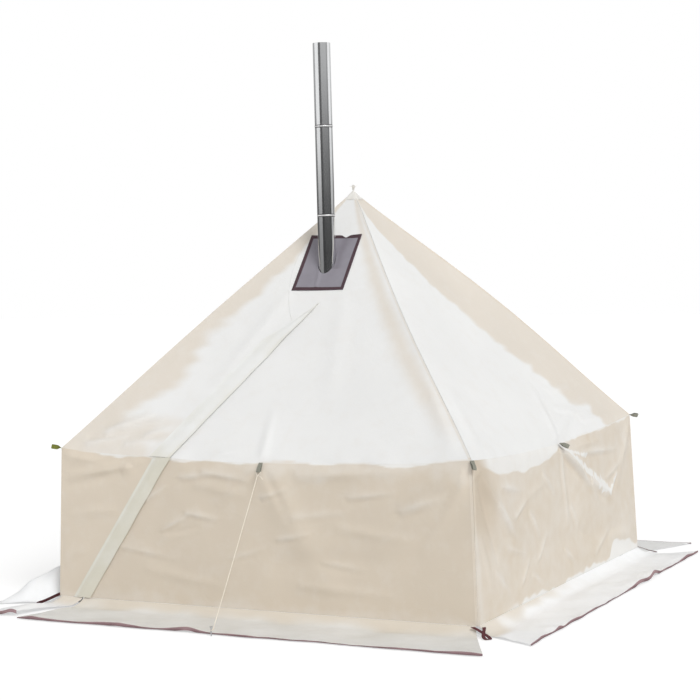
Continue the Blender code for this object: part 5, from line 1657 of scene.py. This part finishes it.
WHITE = (1, 1, 1, 1)
world = bpy.data.worlds.new("studio")
bpy.context.scene.world = world
world.use_nodes = True
tree = world.node_tree
light = fill(tree, tree.nodes["Background"], {"Color": WHITE, "Strength": 0.50})
backdrop = add_node(tree, "Background", {"Color": WHITE, "Strength": 1.0})
show_mixed(tree, "World Output", ray_share(tree, "Camera", "Glossy", "Transmission"), light, backdrop)
SUNS = (("key_lamp", (0.64, -0.48, 0.60), 1.72, 26), ("fill_lamp", (0.30, -0.80, 0.45), 0.3, 90))
for name, towards, strength, wide in SUNS:
    lamp = bpy.data.lights.new(name, "SUN")
    lamp.energy = strength
    lamp.angle = math.radians(wide)
    linked(name, lamp).rotation_euler = Vector(towards).to_track_quat("Z", "Y").to_euler()
print("lamps", len(SUNS))

# %% [markdown]
# The floor is white to the camera but keeps the tent's shadow: about a third of what the camera sees
# of it is glow, and the rest takes the light.

# %% Floor
floor = added("studio_floor", bpy.ops.mesh.primitive_plane_add, size=80)
pale, tree, shader, _ = new_look("studio_floor")
fill(tree, shader, {"Base Color": (0.9, 0.9, 0.9, 1), "Roughness": 1.0, "Specular IOR Level": 0.0})
glow = add_node(tree, "Emission", {"Color": WHITE, "Strength": 1.5})
share = math_node(tree, "MULTIPLY", ray_share(tree, "Camera", "Glossy"), 0.35)
show_mixed(tree, "Material Output", share, shader, glow)
floor.data.materials.append(pale)
floor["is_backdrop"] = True
print("floor done")

# %% [markdown]
# A ring of dark and pale cards stands far round the tent, where only polished metal can see it. Without
# it a shiny pipe in a white room has no bands to show.

# %% Cards for the pipe to mirror
# Each row: where the band starts and ends, in degrees round from the camera as the pipe sees it,
# and its brightness at the bottom, a quarter up, half way, three quarters up and at the top.
PIPE_BANDS = (
    (-180, -104, (0.10, 0.12, 0.24, 0.38, 0.48)), (-104, -48, (0.25, 0.34, 0.85, 1.0, 1.0)),
    (-48, -18, (0.04, 0.06, 0.10, 0.13, 0.17)), (-18, 60, (0.045, 0.085, 0.18, 0.36, 0.56)),
    (60, 78, (0.05, 0.07, 0.13, 0.27, 0.42)), (78, 118, (0.38, 0.50, 0.85, 1.0, 1.0)),
    (118, 180, (0.12, 0.18, 0.36, 0.6, 0.75)),
)
BAND_LOW, BAND_HIGH = 2.0, 4.6
RING_RADIUS, RING_HEIGHT, RING_SIDES = 12, 16, 180


def band_look(name, levels):
    look, tree, _, where = new_look(name)
    height = add_node(tree, "SeparateXYZ", {"Vector": where}).outputs["Z"]
    rise = math_node(tree, "DIVIDE", math_node(tree, "SUBTRACT", height, BAND_LOW), BAND_HIGH - BAND_LOW, True)
    ramp = add_node(tree, "ValToRGB", {"Fac": rise})
    steps = ramp.color_ramp.elements
    while len(steps) < len(levels):
        steps.new(0.5)
    for index, level in enumerate(levels):
        steps[index].position = index / (len(levels) - 1)
        steps[index].color = (level, level, level, 1)
    show(tree, "Material Output", add_node(tree, "Emission", {"Color": ramp.outputs["Color"], "Strength": 1.0}))
    return look


ring = added(
    "reflector_ring", bpy.ops.mesh.primitive_cylinder_add, vertices=RING_SIDES, radius=RING_RADIUS, depth=RING_HEIGHT,
    end_fill_type="NOTHING",
)
ring.data.transform(Matrix.Translation((0, PIPE_Y, 5)))
for number, (_, _, levels) in enumerate(PIPE_BANDS):
    ring.data.materials.append(band_look(f"reflector_{number}", levels))
view_back = math.atan2(-forward.y, -forward.x)
for face in ring.data.polygons:
    turn = math.degrees(math.atan2(face.center.y - PIPE_Y, face.center.x) - view_back)
    turn = (turn + 180) % 360 - 180
    face.material_index = next(n for n, (low, high, _) in enumerate(PIPE_BANDS) if low <= turn < high or high == 180)
ring.visible_camera = ring.visible_diffuse = ring.visible_shadow = ring.visible_transmission = False
ring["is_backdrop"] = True
print("cards", len(PIPE_BANDS))

# %% [markdown]
# ## Widths of the walls
# The roof and walls are stretched over the poles, the flap hangs from its seam, the ground cloth is laid
# out. Here only each wall's width as it was cut is worked out, the front one from the zip, and nothing uses it.


for side, name in enumerate(SIDES):
    wide = 2 * BASE_HALF if side else BASE_HALF - zip_x(0)

# %% [markdown]
# ## The dressed tent's box
# The dressed tent has to stay in the frame's box, so its own box is printed at the end.

# %% Write the sizes and finish
low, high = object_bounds()
print("dressed box", [round(v, 3) for v in (*low, *high)])
